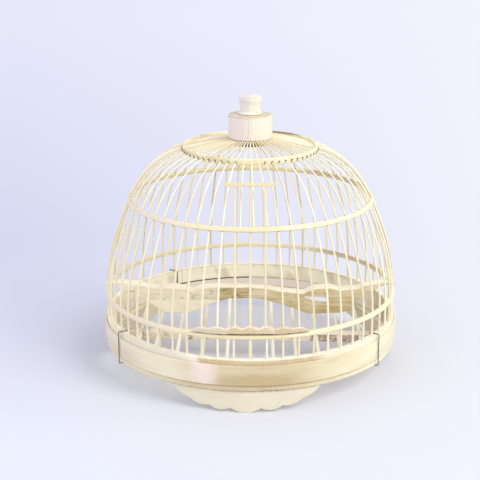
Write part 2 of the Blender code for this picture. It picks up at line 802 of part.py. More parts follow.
def make_door(looks, parent):
    door = bpy.data.objects.new("door", None)
    bpy.context.scene.collection.objects.link(door)
    door.parent = parent
    door.location = DOOR_ORIGIN
    door.rotation_euler = (-DOOR_LEAN, 0, 0)

    socket = DOOR_REST + DOOR_SOCKET_FLOOR
    head = DOOR_REST + DOOR_BAR_LENGTH
    mesh = bmesh.new()
    for index, x in enumerate(door_bar_places()):
        rows = door_bar_rows(x, socket, head)
        lofted(f"door_bar_{index + 1}", rows, looks["bamboo"], door)
        loft(mesh, door_bar_rows(x, socket - SEAT_GAP, head + CUT_OVERRUN, BAR_CLEARANCE))
    drills = finish(mesh, "door_rail_drills", looks["bamboo"], door)

    half = DOOR_TOP_RAIL_SIZE / 2
    reach = DOOR_BAR_PITCH + DOOR_TOP_RAIL_OVERHANG
    low = Vector((-reach, -half, head - DOOR_TOP_RAIL_SIZE))
    rail = lofted("door_top_rail", box_rows(low, Vector((reach, half, head))), looks["bamboo"], door)
    combine(rail, drills, "DIFFERENCE")

    cusps = [
        (index / DOOR_LOBES, 1 - DOOR_LOBE_SHARE, DOOR_LOBE_SHARE)
        for index in range(DOOR_LOBES + 1)
    ]
    half = DOOR_SILL_THICKNESS / 2
    rows = []
    for place, level in lobed_edge(cusps, LOBE_STEPS):
        x = mix(-DOOR_HALF_WIDTH, DOOR_HALF_WIDTH, place)
        top = DOOR_REST + level * DOOR_SILL_HEIGHT
        rows.append(
            [
                Vector((x, -half, DOOR_REST)),
                Vector((x, half, DOOR_REST)),
                Vector((x, half, top)),
                Vector((x, -half, top)),
            ]
        )
    sill = lofted("door_bottom_rail", rows, looks["aged"], door)
    combine(sill, drills, "DIFFERENCE")
    return door


def make_boards(looks, parent):
    """The scalloped boards that stand on the lower hoop's outer ledge, one on each side of the door."""
    seat = LOWER_HOOP_TOP + SEAT_GAP
    for name, side in (("sill_board_left", -1), ("sill_board_right", 1)):
        rows = []
        for place, level in lobed_edge(BOARD_CUSP_SHARES, LOBE_STEPS):
            angle = side * mix(BOARD_START_ANGLE, BOARD_END_ANGLE, place)
            top = seat + level * BOARD_HEIGHT
            rows.append(
                [
                    radial(BOARD_OUTER_RADIUS, angle, seat),
                    radial(BOARD_OUTER_RADIUS, angle, top),
                    radial(BOARD_INNER_RADIUS, angle, top),
                    radial(BOARD_INNER_RADIUS, angle, seat),
                ]
            )
        lofted(name, rows, looks["aged"], parent)


# Perch


def make_perch(looks, parent):
    """A piece of driftwood whose two tongues rest on the lower hoop and straddle a bar each."""
    rows = []
    for place, top, under, depth in PERCH_SHARES:
        high = PERCH_SEAT + top * PERCH_HANG
        low = PERCH_SEAT + under * PERCH_HANG
        half = PERCH_HALF_DEPTH * depth
        inset = half * (1 - PERCH_FLAT_SHARE)
        rise = min(inset, (high - low) * PERCH_ROUND_SHARE)
        rows.append(
            [
                Vector((place * PERCH_HALF_SPAN, y, z))
                for y, z in (
                    (-half, low + rise),
                    (-half + inset, low),
                    (half - inset, low),
                    (half, low + rise),
                    (half, high - rise),
                    (half - inset, high),
                    (-half + inset, high),
                    (-half, high - rise),
                )
            ]
        )
    perch = lofted("perch", rows, looks["driftwood"], parent)
    mesh = bmesh.new()
    outer = PERCH_HALF_SPAN + CUT_OVERRUN
    for side in (-1, 1):
        ends = sorted((side * outer, side * (PERCH_HALF_SPAN - PERCH_SLOT_LENGTH)))
        low = Vector((ends[0], -PERCH_SLOT_WIDTH / 2, PERCH_SEAT - PERCH_HANG))
        high = Vector((ends[1], PERCH_SLOT_WIDTH / 2, PERCH_SEAT + PERCH_HANG))
        loft(mesh, box_rows(low, high))
    combine(perch, finish(mesh, "perch_slots", looks["driftwood"]), "DIFFERENCE")
    x = PERCH_SLIT_PLACE_SHARE * PERCH_HALF_SPAN
    z = PERCH_SEAT - PERCH_SLIT_DROP_SHARE * PERCH_HANG
    rows = []
    for y in (-PERCH_DEPTH, PERCH_DEPTH):
        level = z - PERCH_SLIT_FALL_SHARE * y
        rows.append(
            [
                Vector((x + place * PERCH_SLIT_LENGTH, y, level + rise * PERCH_SLIT_HEIGHT))
                for place, rise in PERCH_SLIT_SHARES
            ]
        )
    combine(perch, lofted("perch_slit", rows, looks["driftwood"]), "DIFFERENCE")


# Wire ties


def wire_loop():
    """The (radius, height) points of a wire round rim, band and inner ring, with rounded corners."""
    reach = WIRE_RADIUS + WIRE_STANDOFF
    low = Vector((RIM_INNER_RADIUS - reach, RIM_BOTTOM - reach))
    high = Vector((BAND_OUTER_RADIUS + reach, RING_TOP + reach))
    corners = ((high.x, high.y, 0), (low.x, high.y, 1), (low.x, low.y, 2), (high.x, low.y, 3))
    points = []
    for x, y, quarter in corners:
        inward_x = -1 if x == high.x else 1
        inward_y = -1 if y == high.y else 1
        centre = Vector((x + inward_x * WIRE_CORNER, y + inward_y * WIRE_CORNER))
        for step in range(WIRE_CORNER_STEPS):
            turn = (quarter + step / (WIRE_CORNER_STEPS - 1)) * math.tau / 4
            points.append(centre + Vector((math.cos(turn), math.sin(turn))) * WIRE_CORNER)
    return points


def make_wire_ties(looks, parent):
    for index, place in enumerate(TIE_BARS):
        angle = place * PITCH
        sideways = Vector((math.cos(angle), math.sin(angle), 0))
        loop = [radial(spot.x, angle, spot.y) for spot in wire_loop()]
        rows = []
        for step, point in enumerate(loop):
            along = (loop[(step + 1) % len(loop)] - loop[step - 1]).normalized()
            across = along.cross(sideways)
            rows.append(
                [
                    point
                    + sideways * (WIRE_RADIUS * math.cos(math.tau * side / WIRE_SIDES))
                    + across * (WIRE_RADIUS * math.sin(math.tau * side / WIRE_SIDES))
                    for side in range(WIRE_SIDES)
                ]
            )
        lofted(f"wire_tie_{index + 1}", rows, looks["wire"], parent, ring=True)


def main():
    for old in list(bpy.data.objects):
        bpy.data.objects.remove(old, do_unlink=True)
    looks = {
        "bamboo": material("bamboo", (0.80, 0.72, 0.50), 0.45),
        "band": material("band_bamboo", (0.82, 0.70, 0.42), 0.35),
        "aged": material("aged_bamboo", (0.60, 0.47, 0.30), 0.60),
        "turned": material("turned_wood", (0.78, 0.66, 0.52), 0.50),
        "driftwood": material("driftwood", (0.42, 0.32, 0.20), 0.75),
        "wire": material("steel_wire", (0.45, 0.45, 0.47), 0.35, 1.0),
    }
    cage = bpy.data.objects.new("cage", None)
    bpy.context.scene.collection.objects.link(cage)
    make_base(looks, cage)
    make_floor(looks, cage)
    joints = [*PANEL_JOINT_BARS, PANEL_JOINT_BARS[0] + BAR_COUNT]
    for index, (start, end) in enumerate(zip(joints, joints[1:])):
        make_panel(f"bar_panel_{index + 1:02d}", start, end, looks, cage)
    door = make_door(looks, cage)
    make_short_bars(looks, cage)
    make_lower_hoop(looks, cage)
    make_upper_hoop(looks, cage, door)
    make_crown_ring(looks, cage)
    make_hub(looks, cage)
    make_boards(looks, cage)
    make_perch(looks, cage)
    make_wire_ties(looks, cage)


main()
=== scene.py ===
"""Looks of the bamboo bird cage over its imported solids: finer pieces, wood, wire, light and camera."""

import math
import random

import bmesh
import bpy
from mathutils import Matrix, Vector, noise


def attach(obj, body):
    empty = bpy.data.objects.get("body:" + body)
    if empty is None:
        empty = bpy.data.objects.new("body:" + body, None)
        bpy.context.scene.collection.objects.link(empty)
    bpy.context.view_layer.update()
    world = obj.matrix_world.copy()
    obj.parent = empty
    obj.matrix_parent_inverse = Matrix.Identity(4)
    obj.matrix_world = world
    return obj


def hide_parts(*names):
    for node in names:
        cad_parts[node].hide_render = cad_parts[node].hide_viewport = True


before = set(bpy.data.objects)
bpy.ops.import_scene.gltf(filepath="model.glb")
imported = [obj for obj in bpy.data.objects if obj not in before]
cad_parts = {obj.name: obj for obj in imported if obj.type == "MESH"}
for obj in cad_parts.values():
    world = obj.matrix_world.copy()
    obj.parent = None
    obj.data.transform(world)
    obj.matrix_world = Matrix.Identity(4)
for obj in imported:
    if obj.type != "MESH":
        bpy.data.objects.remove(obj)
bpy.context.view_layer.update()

# Camera
CAMERA_AIM = Vector((0, 0, 0.1443))
CAMERA_DISTANCE = 1.467
CAMERA_ELEVATION = math.radians(16.8)
CAMERA_LENS = 93.2
CAMERA_SENSOR = 36.0
CAMERA_SHIFT_SHARE = -0.0215

# Round pattern of bars
WALL_RADIUS = 0.1685
BAR_COUNT = 60
PITCH = math.tau / BAR_COUNT
BAR_FOOT_RADIUS = 0.0013
BAR_TIP_RADIUS = 0.0009
BAR_SIDES = 8
BAR_WAVE = 0.00045
BAR_WAVE_RATE = 42
BAR_SPACING = 0.012
SHORT_BAR_SPACING = 0.006
KNOT_PITCH = 0.12
KNOT_HALF_LENGTH = 0.005
BAR_LIFT_SHARE = 0.06
GATE_BARS = (-1, 0, 1)
PANEL_JOINT_BARS = (-3.5, 3.5, 9.5, 15.5, 22.5, 28.5, 35.5, 40.5, 45.5, 50.5)
# The joints that show. The others are too tight to see.
OPEN_JOINT_BARS = (9.5, 35.5, 40.5, 50.5)
WALL_STEPS = 9
DOME_STEPS = 12
WALL_PULL_SHARE = 0.34
DOME_PULL_SHARE = 0.33
SHORT_BAR_SHIFT = math.radians(1.6)

# Feet
FOOT_PLACES = (("front", -1.7), ("rear_right", 107.0), ("rear_left", -111.5))
FOOT_HEIGHT = 0.0252
FOOT_THICKNESS = 0.0055
FOOT_OUTER_RADIUS = 0.1695
FOOT_HALF_ANGLE = math.radians(28.6)
# Each row is a cusp, as shares of the half angle and of the height, and how
# far the lobe before it hangs below the line between its cusps.
FOOT_CUSP_SHARES = (
    (0.20, 0.19, 0.22),
    (0.48, 0.27, 0.14),
    (0.74, 0.47, 0.11),
    (1.00, 0.93, 0.08),
)

# Base
RIM_OUTER_RADIUS = 0.1710
RIM_INNER_RADIUS = 0.1630
RIM_BOTTOM = 0.0255
RIM_TOP = 0.0315
BASE_BOTTOM = 0.0318
RING_TOP = 0.0618
RING_OUTER_RADIUS = 0.1709
RING_INNER_RADIUS = 0.1641
RING_GROOVE_LEVEL = 0.0432
RING_GROOVE_HEIGHT = 0.0012
RING_GROOVE_DEPTH = 0.0012
BAND_INNER_RADIUS = 0.1712
BAND_OUTER_RADIUS = 0.1732
BAND_HEIGHT = 0.0238
BAND_BULGE = 0.0007
BASE_EDGE = 0.0007
BASE_SPACING = 0.0016
BAND_STEPS = 8
RING_JOINT_GAP = 0.0006
FOOT_TENON = 0.0060

# Floor
FLOOR_ROD_RADIUS = 0.00225
FLOOR_ROD_SIDES = 12
ROD_SWELL_SHARE = 0.04
ROD_SWELL_SCALES = (60, 60, 60)
ROD_LEVEL = 0.0285
ROD_SOCKET_DEPTH = 0.0035
# Each rod from left to right: its place as a share of the rim's inner radius, and how pale it is.
ROD_SHARES = (
    (-0.8086, 0.50),
    (-0.6798, 0.56),
    (-0.5190, 0.82),
    (-0.3405, 0.22),
    (-0.1638, 1.00),
    (0.0, 0.55),
    (0.1607, 0.60),
    (0.3215, 0.50),
    (0.4822, 0.72),
    (0.6429, 0.55),
    (0.8037, 0.90),
)
CROSSBAR_WIDTH = 0.0135
CROSSBAR_HEIGHT = 0.0097
CROSSBAR_FORWARD = 0.0060
CROSSBAR_SLOPE = 0.038
CROSSBAR_OVER_RODS = 0.0010
CROSSBAR_REACH = 0.1617
CROSSBAR_STEP = 0.0020
CROSSBAR_EDGE = 0.0012
TENON_WIDTH = 0.0070
TENON_HEIGHT = 0.0045
TENON_LENGTH = 0.0040
TENON_EDGE = 0.00045

# Hoops
LOWER_HOOP_HEIGHT = 0.0873
UPPER_HOOP_RADIUS = 0.1410
UPPER_HOOP_HEIGHT = 0.1981
UPPER_HOOP_LEAN = math.radians(24)
HOOP_THICKNESS = 0.0046
LOWER_HOOP_DEPTH = 0.0050
UPPER_HOOP_DEPTH = 0.0055
HOOP_EDGE = 0.0012
HOOP_RUN = 0.0032
HOOP_STEPS = 360
HOOP_SPACING = 0.0012
CROWN_RADIUS = 0.0765
CROWN_HEIGHT = 0.2560
CROWN_THICKNESS = 0.0040
CROWN_BELOW_BARS = 0.0029
CROWN_ABOVE_BARS = 0.0043
CROWN_RUN = 0.0040
COLLAR_GROW = 0.0002
COLLAR_REACH = 0.0003
CROWN_COLLAR_GROW = 0.0008
CROWN_COLLAR_REACH = 0.0006

# Hub and knob
TIP_RADIUS = 0.0205
TIP_RISE = 0.0119
HUB_RADIUS = 0.0255
HUB_HEIGHT = 0.0285
HUB_SKIRT = 0.0017
HUB_SKIRT_DROP = 0.0007
HUB_EDGE = 0.0013
HUB_TOP_RISE = 0.0010
HUB_STEPS = 480
HUB_NOTCH_HEIGHT = 0.0030
HUB_NOTCH_HALF_WIDTH = 0.0005
HUB_NOTCH_SOFT = 0.0004
HUB_NOTCH_SHARE = 0.8
HUB_ROOF_GAP = 0.0025
HUB_TOP_LAP = 0.0006
HUB_TOP_INSET = 0.0010
# Cracks down the hub's side: degrees from the front, and how dark.
HUB_CRACKS = ((-64, 0.5), (-46, 0.6), (-21, 0.7), (-5, 1.0), (3, 0.8), (15, 0.6), (150, 0.8), (-130, 0.7))
KNOB_HEIGHT = 0.0195
KNOB_LIP_RADIUS = 0.0131
KNOB_LIP_HEIGHT = 0.0039
KNOB_FLARE = 0.0053
KNOB_NECK_RADIUS = 0.0117
KNOB_FOOT_RADIUS = 0.0140
KNOB_FOOT_RISE = 0.0035
KNOB_EDGE = 0.0009
KNOB_CENTRE_RADIUS = 0.001
AXIS_RADIUS = 0.0001
TURNED_STEP = 0.0009
SEAT_GAP = 0.0003

# Corners
CORNER_STEPS = 4
CORNER_CUT_SHARE = 0.45
SMOOTH_ANGLE = math.radians(50)
CRISP_ANGLE = math.radians(40)

# Door
DOOR_LEAN = math.radians(14.545)
DOOR_SIDE_GAP = 0.0093
DOOR_BAR_RADIUS = 0.0012
DOOR_BAR_INSET = 0.0095
DOOR_BAR_LENGTH = 0.1609
DOOR_BAR_RISE = 0.0030
DOOR_BAR_STEPS = 16
DOOR_TOP_RAIL_OVERHANG = 0.0115
DOOR_TOP_RAIL_SIZE = 0.0042
DOOR_SILL_HEIGHT = 0.0090
DOOR_SILL_THICKNESS = 0.0044
DOOR_LOBES = 3
DOOR_LOBE_SHARE = 0.36
RAIL_EDGE = 0.0005
RAIL_STEPS = 24

# Scalloped boards beside the door
BOARD_GAP = 0.0013
BOARD_THICKNESS = 0.0018
BOARD_HEIGHT = 0.0085
BOARD_END_ANGLE = math.radians(21.7)
BOARD_EDGE = 0.0004
BOARD_PARTS = 7
LOBE_STEPS = 14
BOARD_CUSP_SHARES = (
    (0.00, 0.77, 0.00),
    (0.50, 0.67, 0.28),
    (1.00, 0.12, 0.35),
)

# Perch
PERCH_OVERHANG = 0.0027
PERCH_HANG = 0.0350
PERCH_DEPTH = 0.0160
PERCH_FLAT_SHARE = 0.72
PERCH_ROUND_SHARE = 0.33
PERCH_SLOT_LENGTH = 0.0055
PERCH_SLOT_WIDTH = 0.0034
PERCH_STEP = 0.0013
PERCH_BLUR_SHARE = 0.006
PERCH_PARTS = 18
PERCH_RELIEF = 0.00042
PERCH_RELIEF_END = (0.160, 0.150)
PERCH_FINE_SCALES = (55, 330, 330)
PERCH_BROAD_SCALES = (40, 70, 90)
# Rows from left to right: place along the half span, then top and underside
# as shares of the hang, measured from the hoop's seat, and share of the depth.
PERCH_SHARES = (
    (-1.000, 0.120, 0.000, 0.70),
    (-0.960, 0.112, 0.000, 0.72),
    (-0.928, 0.103, -0.010, 0.76),
    (-0.903, 0.098, -0.185, 0.80),
    (-0.872, 0.092, -0.251, 0.86),
    (-0.809, 0.060, -0.284, 0.90),
    (-0.732, -0.011, -0.554, 0.95),
    (-0.662, -0.072, -0.772, 1.00),
    (-0.607, -0.085, -0.964, 1.05),
    (-0.579, -0.062, -1.008, 1.05),
    (-0.509, -0.048, -1.014, 1.05),
    (-0.439, -0.122, -1.008, 1.00),
    (-0.397, -0.204, -0.946, 0.95),
    (-0.349, -0.088, -0.852, 1.00),
    (-0.293, -0.047, -0.729, 0.95),
    (-0.223, -0.044, -0.595, 0.95),
    (-0.153, -0.053, -0.489, 0.90),
    (0.000, -0.041, -0.464, 0.90),
    (0.098, -0.091, -0.518, 0.95),
    (0.230, -0.204, -0.714, 0.95),
    (0.321, -0.240, -0.855, 1.00),
    (0.373, -0.277, -0.969, 1.00),
    (0.411, -0.168, -1.017, 1.00),
    (0.474, -0.077, -1.011, 1.05),
    (0.558, -0.072, -1.008, 1.05),
    (0.617, -0.153, -0.995, 1.00),
    (0.662, -0.129, -0.945, 1.00),
    (0.711, -0.093, -0.881, 1.00),
    (0.739, -0.124, -0.591, 0.95),
    (0.788, 0.000, -0.375, 0.90),
    (0.844, 0.045, -0.241, 0.85),
    (0.893, 0.078, -0.115, 0.80),
    (0.928, 0.094, -0.010, 0.76),
    (0.960, 0.105, 0.000, 0.72),
    (1.000, 0.120, 0.000, 0.70),
)
PERCH_SLIT_PLACE_SHARE = 0.453
PERCH_SLIT_DROP_SHARE = 0.555
PERCH_SLIT_FALL_SHARE = 0.35
PERCH_SLIT_LENGTH = 0.0280
PERCH_SLIT_HEIGHT = 0.0064
PERCH_SLIT_EDGE = 0.0010
# The slit's outline, as shares of its length and its height.
PERCH_SLIT_SHARES = (
    (-0.50, 0.50),
    (-0.08, -0.27),
    (0.20, -0.45),
    (0.50, -0.50),
    (0.50, 0.38),
    (-0.08, 0.45),
)

# Wire ties, each with its place among the bars
TIE_BARS = (9.38, 36.17, 50.17)
# How far each wire strays sideways on the inside of the ring.
TIE_LEANS = (0.0, math.radians(1.2), 0.0)
TIE_LEAN_START = 0.1665
WIRE_RADIUS = 0.0006
WIRE_STANDOFF = 0.0003
WIRE_BEND = 0.00192
WIRE_SPACING = 0.003
WIRE_SIDES = 8

# Materials, with scales of noise along and across the grain per metre
FIBRE_SCALES = (45, 1300, 1300)
PATCH_SCALES = (16, 95, 95)
SPECK_SCALES = (260, 520, 520)
RUST_SCALES = (180, 180, 120)
UNEVEN_SCALES = (90, 90, 90)
FIBRE_HEIGHT = 0.0006
ROUGHNESS_SWING = 0.18

# Stage, its colours written in the usual 0 to 255
STAGE_HALF = 9.0
STAGE_GAIN = 0.84
STAGE_NEAREST = 1.1
STAGE_NEARNESS = 0.57
STAGE_BOUNCE = (0.80, 0.81, 0.86, 1.0)
# Where each tint starts and is full, by nearness or by the place across over the depth.
MIDDLE_SHARES = (0.12, 0.29)
NEAR_SHARES = (0.30, 0.47)
RIGHT_SHARES = (-0.19, 0.24)
# The lilac tints paint light on the floor: deeper half way off, paler in front and paler still to the right.
LILAC_FAR = (234, 235, 247)
LILAC_MIDDLE = (218, 220, 238)
LILAC_NEAR = (242, 245, 254)
LILAC_RIGHT = (247, 248, 252)
HORIZON = (236, 238, 250)
WORLD_COLOUR = (243, 244, 255)
WORLD_LIGHT = 0.88
# Each light: name, degrees right of the camera, degrees up, strength, softness in degrees, colour.
SUN_LIGHTS = (
    ("key", 52, 44, 1.40, 35, (1.0, 0.99, 0.93)),
    ("left", -60, 35, 0.32, 60, (0.92, 0.93, 1.0)),
)

UP = Vector((0, 1))
UPPER_WAY = Vector((-math.sin(UPPER_HOOP_LEAN), math.cos(UPPER_HOOP_LEAN)))
UPPER_SEAT = Vector((UPPER_HOOP_RADIUS, UPPER_HOOP_HEIGHT))
LOWER_SEAT = Vector((WALL_RADIUS, LOWER_HOOP_HEIGHT))
CROWN_SEAT = Vector((CROWN_RADIUS, CROWN_HEIGHT))
TIP = Vector((TIP_RADIUS, CROWN_HEIGHT + TIP_RISE))
TIP_WAY = (TIP - CROWN_SEAT).normalized()
TIP_SLOPE = TIP_WAY.y / TIP_WAY.x
HUB_BOTTOM = TIP.y + (HUB_RADIUS - TIP.x) * TIP_SLOPE - HUB_SKIRT_DROP
HUB_TOP = HUB_BOTTOM + HUB_HEIGHT + HUB_TOP_RISE
FOOT_POINT = Vector((WALL_RADIUS, RING_TOP - FOOT_TENON))
LOWER_RUN_END = Vector((WALL_RADIUS, LOWER_HOOP_HEIGHT + HOOP_RUN))
UPPER_RUN = (UPPER_SEAT - UPPER_WAY * HOOP_RUN, UPPER_SEAT + UPPER_WAY * HOOP_RUN)
CROWN_RUN_START = CROWN_SEAT - TIP_WAY * CROWN_RUN
LOWER_HOOP_TOP = LOWER_HOOP_HEIGHT + LOWER_HOOP_DEPTH / 2
RING_GROOVE_SHARE = (RING_GROOVE_LEVEL - BASE_BOTTOM) / (RING_TOP - BASE_BOTTOM)
CROSSBAR_TOP = ROD_LEVEL + FLOOR_ROD_RADIUS + CROSSBAR_OVER_RODS
SEAT_TOP = LOWER_HOOP_TOP + SEAT_GAP
PERCH_HALF_SPAN = WALL_RADIUS + PERCH_OVERHANG
BOARD_INNER_RADIUS = WALL_RADIUS + BAR_FOOT_RADIUS + SEAT_GAP
BOARD_OUTER_RADIUS = BOARD_INNER_RADIUS + BOARD_THICKNESS
DOOR_REST = SEAT_GAP + DOOR_SILL_THICKNESS / 2 * math.sin(DOOR_LEAN)
DOOR_HEAD = DOOR_REST + DOOR_BAR_LENGTH
DOOR_HALF_WIDTH = WALL_RADIUS * math.sin(2 * PITCH) - DOOR_SIDE_GAP
DOOR_BAR_PITCH = DOOR_HALF_WIDTH - DOOR_BAR_INSET
BOARD_START_ANGLE = math.asin((DOOR_HALF_WIDTH + BOARD_GAP) / BOARD_OUTER_RADIUS)


def radial(radius, angle, height):
    return Vector((radius * math.sin(angle), -radius * math.cos(angle), height))


def sideways_at(angle):
    return Vector((math.cos(angle), math.sin(angle), 0))


def angle_of(point):
    """The angle round the cage, from the front and positive to the right."""
    return math.atan2(point.x, -point.y)


def turn_of(angle):
    """The angle in degrees, from -180 to 180."""
    return math.degrees(math.remainder(angle, math.tau))


def mix(start, end, share):
    return start + (end - start) * share


def evenly(start, end, parts):
    """Values from start to end, with equal parts between them."""
    return [mix(start, end, step / parts) for step in range(parts + 1)]


def ramp(value, low, high):
    """0 below low, 1 above high and smooth between; low may be above high."""
    share = min(1.0, max(0.0, (value - low) / (high - low)))
    return share * share * (3 - 2 * share)


def span(value, start, full, fading, end):
    """0 outside start to end, 1 from full to fading and smooth between."""
    return ramp(value, start, full) * ramp(value, end, fading)


def bump_at(value, centre, half_width):
    return max(0.0, 1 - abs(value - centre) / half_width)


def mottle(point, scales=(1, 1, 1)):
    """Smooth noise about 0, with a scale for each axis."""
    return noise.noise(Vector(point) * Vector(scales))


# Materials


def linear(colour):
    """A colour written as 0 to 255 in linear light."""
    shares = [part / 255 for part in colour]
    return (*[s / 12.92 if s <= 0.04045 else ((s + 0.055) / 1.055) ** 2.4 for s in shares], 1.0)


def new_material(name):
    made = bpy.data.materials.new(name)
    made.use_nodes = True
    return made, made.node_tree


def plug(tree, node, inputs):
    """Links or sets inputs of a node."""
    for name, value in inputs.items():
        if isinstance(value, bpy.types.NodeSocket):
            tree.links.new(value, node.inputs[name])
        else:
            node.inputs[name].default_value = value


def shader_node(tree, kind, inputs, **settings):
    node = tree.nodes.new("ShaderNode" + kind)
    for name, value in settings.items():
        setattr(node, name, value)
    plug(tree, node, inputs)
    return node


def math_node(tree, operation, first, second, third=0.0, clamp=False):
    inputs = {0: first, 1: second, 2: third}
    return shader_node(tree, "Math", inputs, operation=operation, use_clamp=clamp).outputs[0]


def mix_colour(tree, share, first, second):
    return shader_node(tree, "Mix", {0: share, 6: first, 7: second}, data_type="RGBA").outputs[2]


def range_node(tree, value, low, high):
    return shader_node(tree, "MapRange", {0: value, 1: low, 2: high}).outputs[0]


def noise_node(tree, vector, scales, detail=3.0, roughness=0.55):
    """Noise over a vector that is stretched by scales, one per axis."""
    stretched = shader_node(tree, "VectorMath", {0: vector, 1: scales}, operation="MULTIPLY")
    inputs = {"Vector": stretched.outputs[0], "Scale": 1.0, "Detail": detail, "Roughness": roughness}
    return shader_node(tree, "TexNoise", inputs).outputs["Fac"]


def wood(
    name, pale, deep, soil_and_shade, blush, roughness,
    fibre=0.5, patch=0.6, relief=0.15, coat=0.0, speck=4.6,
):
    """Wood or bamboo. Each point carries its place in the grain, and its tone, its share of the soil colour
    and its blush. The soil colour paints both dirt and painted shade; blush also carries painted sheen and
    painted shade tints.
    """
    made, tree = new_material(name)
    grain, look = [
        shader_node(tree, "Attribute", {}, attribute_name=kind).outputs["Vector"]
        for kind in ("grain", "look")
    ]
    tone, soiled_and_shaded, blushed = shader_node(tree, "SeparateXYZ", {0: look}).outputs
    fibres = noise_node(tree, grain, FIBRE_SCALES, 3.0, 0.6)
    patches = noise_node(tree, grain, PATCH_SCALES, 4.0)
    specks = noise_node(tree, grain, SPECK_SCALES, 2.0)

    share = math_node(tree, "MULTIPLY_ADD", fibres, fibre, 1.0 - fibre / 2 - patch / 2)
    share = math_node(tree, "MULTIPLY_ADD", patches, patch, share)
    share = math_node(tree, "SUBTRACT", share, tone, clamp=True)
    colour = mix_colour(tree, share, linear(pale), linear(deep))
    colour = mix_colour(tree, blushed, colour, linear(blush))
    contrast = math_node(tree, "MULTIPLY_ADD", specks, speck, -speck / 2)
    broken = math_node(tree, "ADD", soiled_and_shaded, contrast)
    broken = math_node(tree, "MULTIPLY", broken, soiled_and_shaded, clamp=True)
    # The soil colour stands for stains and dirt, and also for painted shade in gaps, grooves, notches and on
    # shaded sides.
    colour = mix_colour(tree, broken, colour, linear(soil_and_shade))
    rough = math_node(tree, "MULTIPLY_ADD", fibres, ROUGHNESS_SWING, roughness - ROUGHNESS_SWING / 2)
    height = math_node(tree, "MULTIPLY_ADD", patches, 0.5, fibres)
    inputs = {"Strength": relief, "Distance": FIBRE_HEIGHT, "Height": height}
    bump = shader_node(tree, "Bump", inputs).outputs[0]
    inputs = {"Base Color": colour, "Roughness": rough, "Normal": bump}
    plug(tree, tree.nodes["Principled BSDF"], inputs | {"Coat Weight": coat, "Coat Roughness": 0.25})
    return made


def wire_look():
    made, tree = new_material("steel_wire")
    place = shader_node(tree, "TexCoord", {}).outputs["Object"]
    rust = noise_node(tree, place, RUST_SCALES)
    colour = mix_colour(tree, rust, linear((150, 148, 156)), linear((112, 92, 84)))
    rough = math_node(tree, "MULTIPLY_ADD", rust, 0.3, 0.3)
    inputs = {"Base Color": colour, "Roughness": rough, "Metallic": 0.8}
    plug(tree, tree.nodes["Principled BSDF"], inputs)
    return made


LOOKS = {
    "bar": wood(
        "bar_bamboo", (252, 248, 222), (222, 203, 150), (140, 104, 58), (240, 216, 190), 0.46, speck=2.4
    ),
    "rod": wood("rod_bamboo", (252, 248, 235), (224, 204, 156), (124, 94, 52), (226, 214, 204), 0.5),
    "hoop": wood(
        "hoop_bamboo", (251, 244, 205), (222, 202, 150), (150, 98, 54), (240, 222, 204), 0.44, speck=1.6
    ),
    "ring": wood(
        "ring_bamboo", (255, 250, 227), (218, 197, 154), (144, 98, 58), (234, 224, 214), 0.55,
        patch=1.0, speck=2.6,
    ),
    "band": wood(
        "band_bamboo", (252, 245, 207), (201, 178, 134), (134, 104, 62), (244, 227, 210), 0.36,
        fibre=0.6, patch=0.8, relief=0.08, coat=0.25, speck=2.6,
    ),
    "foot": wood(
        "foot_bamboo", (241, 234, 208), (214, 200, 164), (150, 120, 84), (236, 224, 212), 0.55, fibre=0.9
    ),
    "aged": wood(
        "aged_bamboo", (246, 238, 212), (206, 184, 138), (112, 76, 60), (232, 212, 196), 0.62,
        fibre=0.7, patch=0.8, relief=0.25, speck=3.4,
    ),
    "turned": wood(
        "turned_wood", (249, 242, 221), (230, 215, 183), (116, 84, 58), (240, 226, 224), 0.5,
        fibre=0.4, patch=0.7, relief=0.1, speck=2.0,
    ),
    "drift": wood(
        "driftwood", (251, 244, 214), (194, 166, 104), (110, 80, 44), (244, 234, 220), 0.62,
        fibre=0.9, patch=0.9, relief=0.4, speck=2.4,
    ),
    # A dark brown for painted shade at holes and gaps.
    "hole": wood("hole_shade", (128, 100, 62), (84, 60, 34), (60, 42, 26), (128, 100, 62), 0.7),
    "wire": wire_look(),
}
SLOTS = dict.fromkeys(LOOKS, "bamboo") | {
    "band": "band_bamboo", "aged": "aged_bamboo", "turned": "turned_wood", "drift": "driftwood",
    "wire": "steel_wire",
}


# Making pieces


class Piece:
    """The points and faces of a piece while it is made, with each point's grain and look."""

    def __init__(self):
        self.points = []
        self.faces = []
        self.grains = []
        self.looks = []

    def loft(self, rows, grain_of, look_of, ring=False):
        """Skins rows of points. grain_of and look_of take a row's and a point's number and the point."""
        first = len(self.points)
        width = len(rows[0])
        for row_number, row in enumerate(rows):
            for number, point in enumerate(row):
                self.points.append(tuple(point))
                self.grains.append(grain_of(row_number, number, point))
                self.looks.append(look_of(row_number, number, point))
        last = len(rows) if ring else len(rows) - 1
        for row_number in range(last):
            start = first + row_number * width
            after = first + (row_number + 1) % len(rows) * width
            for number in range(width):
                following = (number + 1) % width
                self.faces.append((start + number, start + following, after + following, after + number))
        if not ring:
            self.faces.append(tuple(first + number for number in reversed(range(width))))
            self.faces.append(tuple(first + (len(rows) - 1) * width + number for number in range(width)))
        return self

    def mesh(self, name):
        mesh = bpy.data.meshes.new(name)
        mesh.from_pydata(self.points, [], self.faces)
        return mesh

    def make(self, name, look, body, nodes=(), smooth_angle=SMOOTH_ANGLE):
        mesh = self.mesh(name)
        mesh.validate()
        set_attributes(mesh, self.grains, self.looks)
        finish(name, mesh, look, body, nodes, smooth_angle)


def set_attributes(mesh, grains, looks):
    for name, values in (("grain", grains), ("look", looks)):
        attribute = mesh.attributes.new(name, "FLOAT_VECTOR", "POINT")
        attribute.data.foreach_set("vector", [part for value in values for part in value])


def face_out(mesh):
    edit = bmesh.new()
    edit.from_mesh(mesh)
    bmesh.ops.recalc_face_normals(edit, faces=edit.faces)
    edit.to_mesh(mesh)
    edit.free()


def linked(name, data):
    """A new object in the scene."""
    made = bpy.data.objects.new(name, data)
    bpy.context.scene.collection.objects.link(made)
    return made


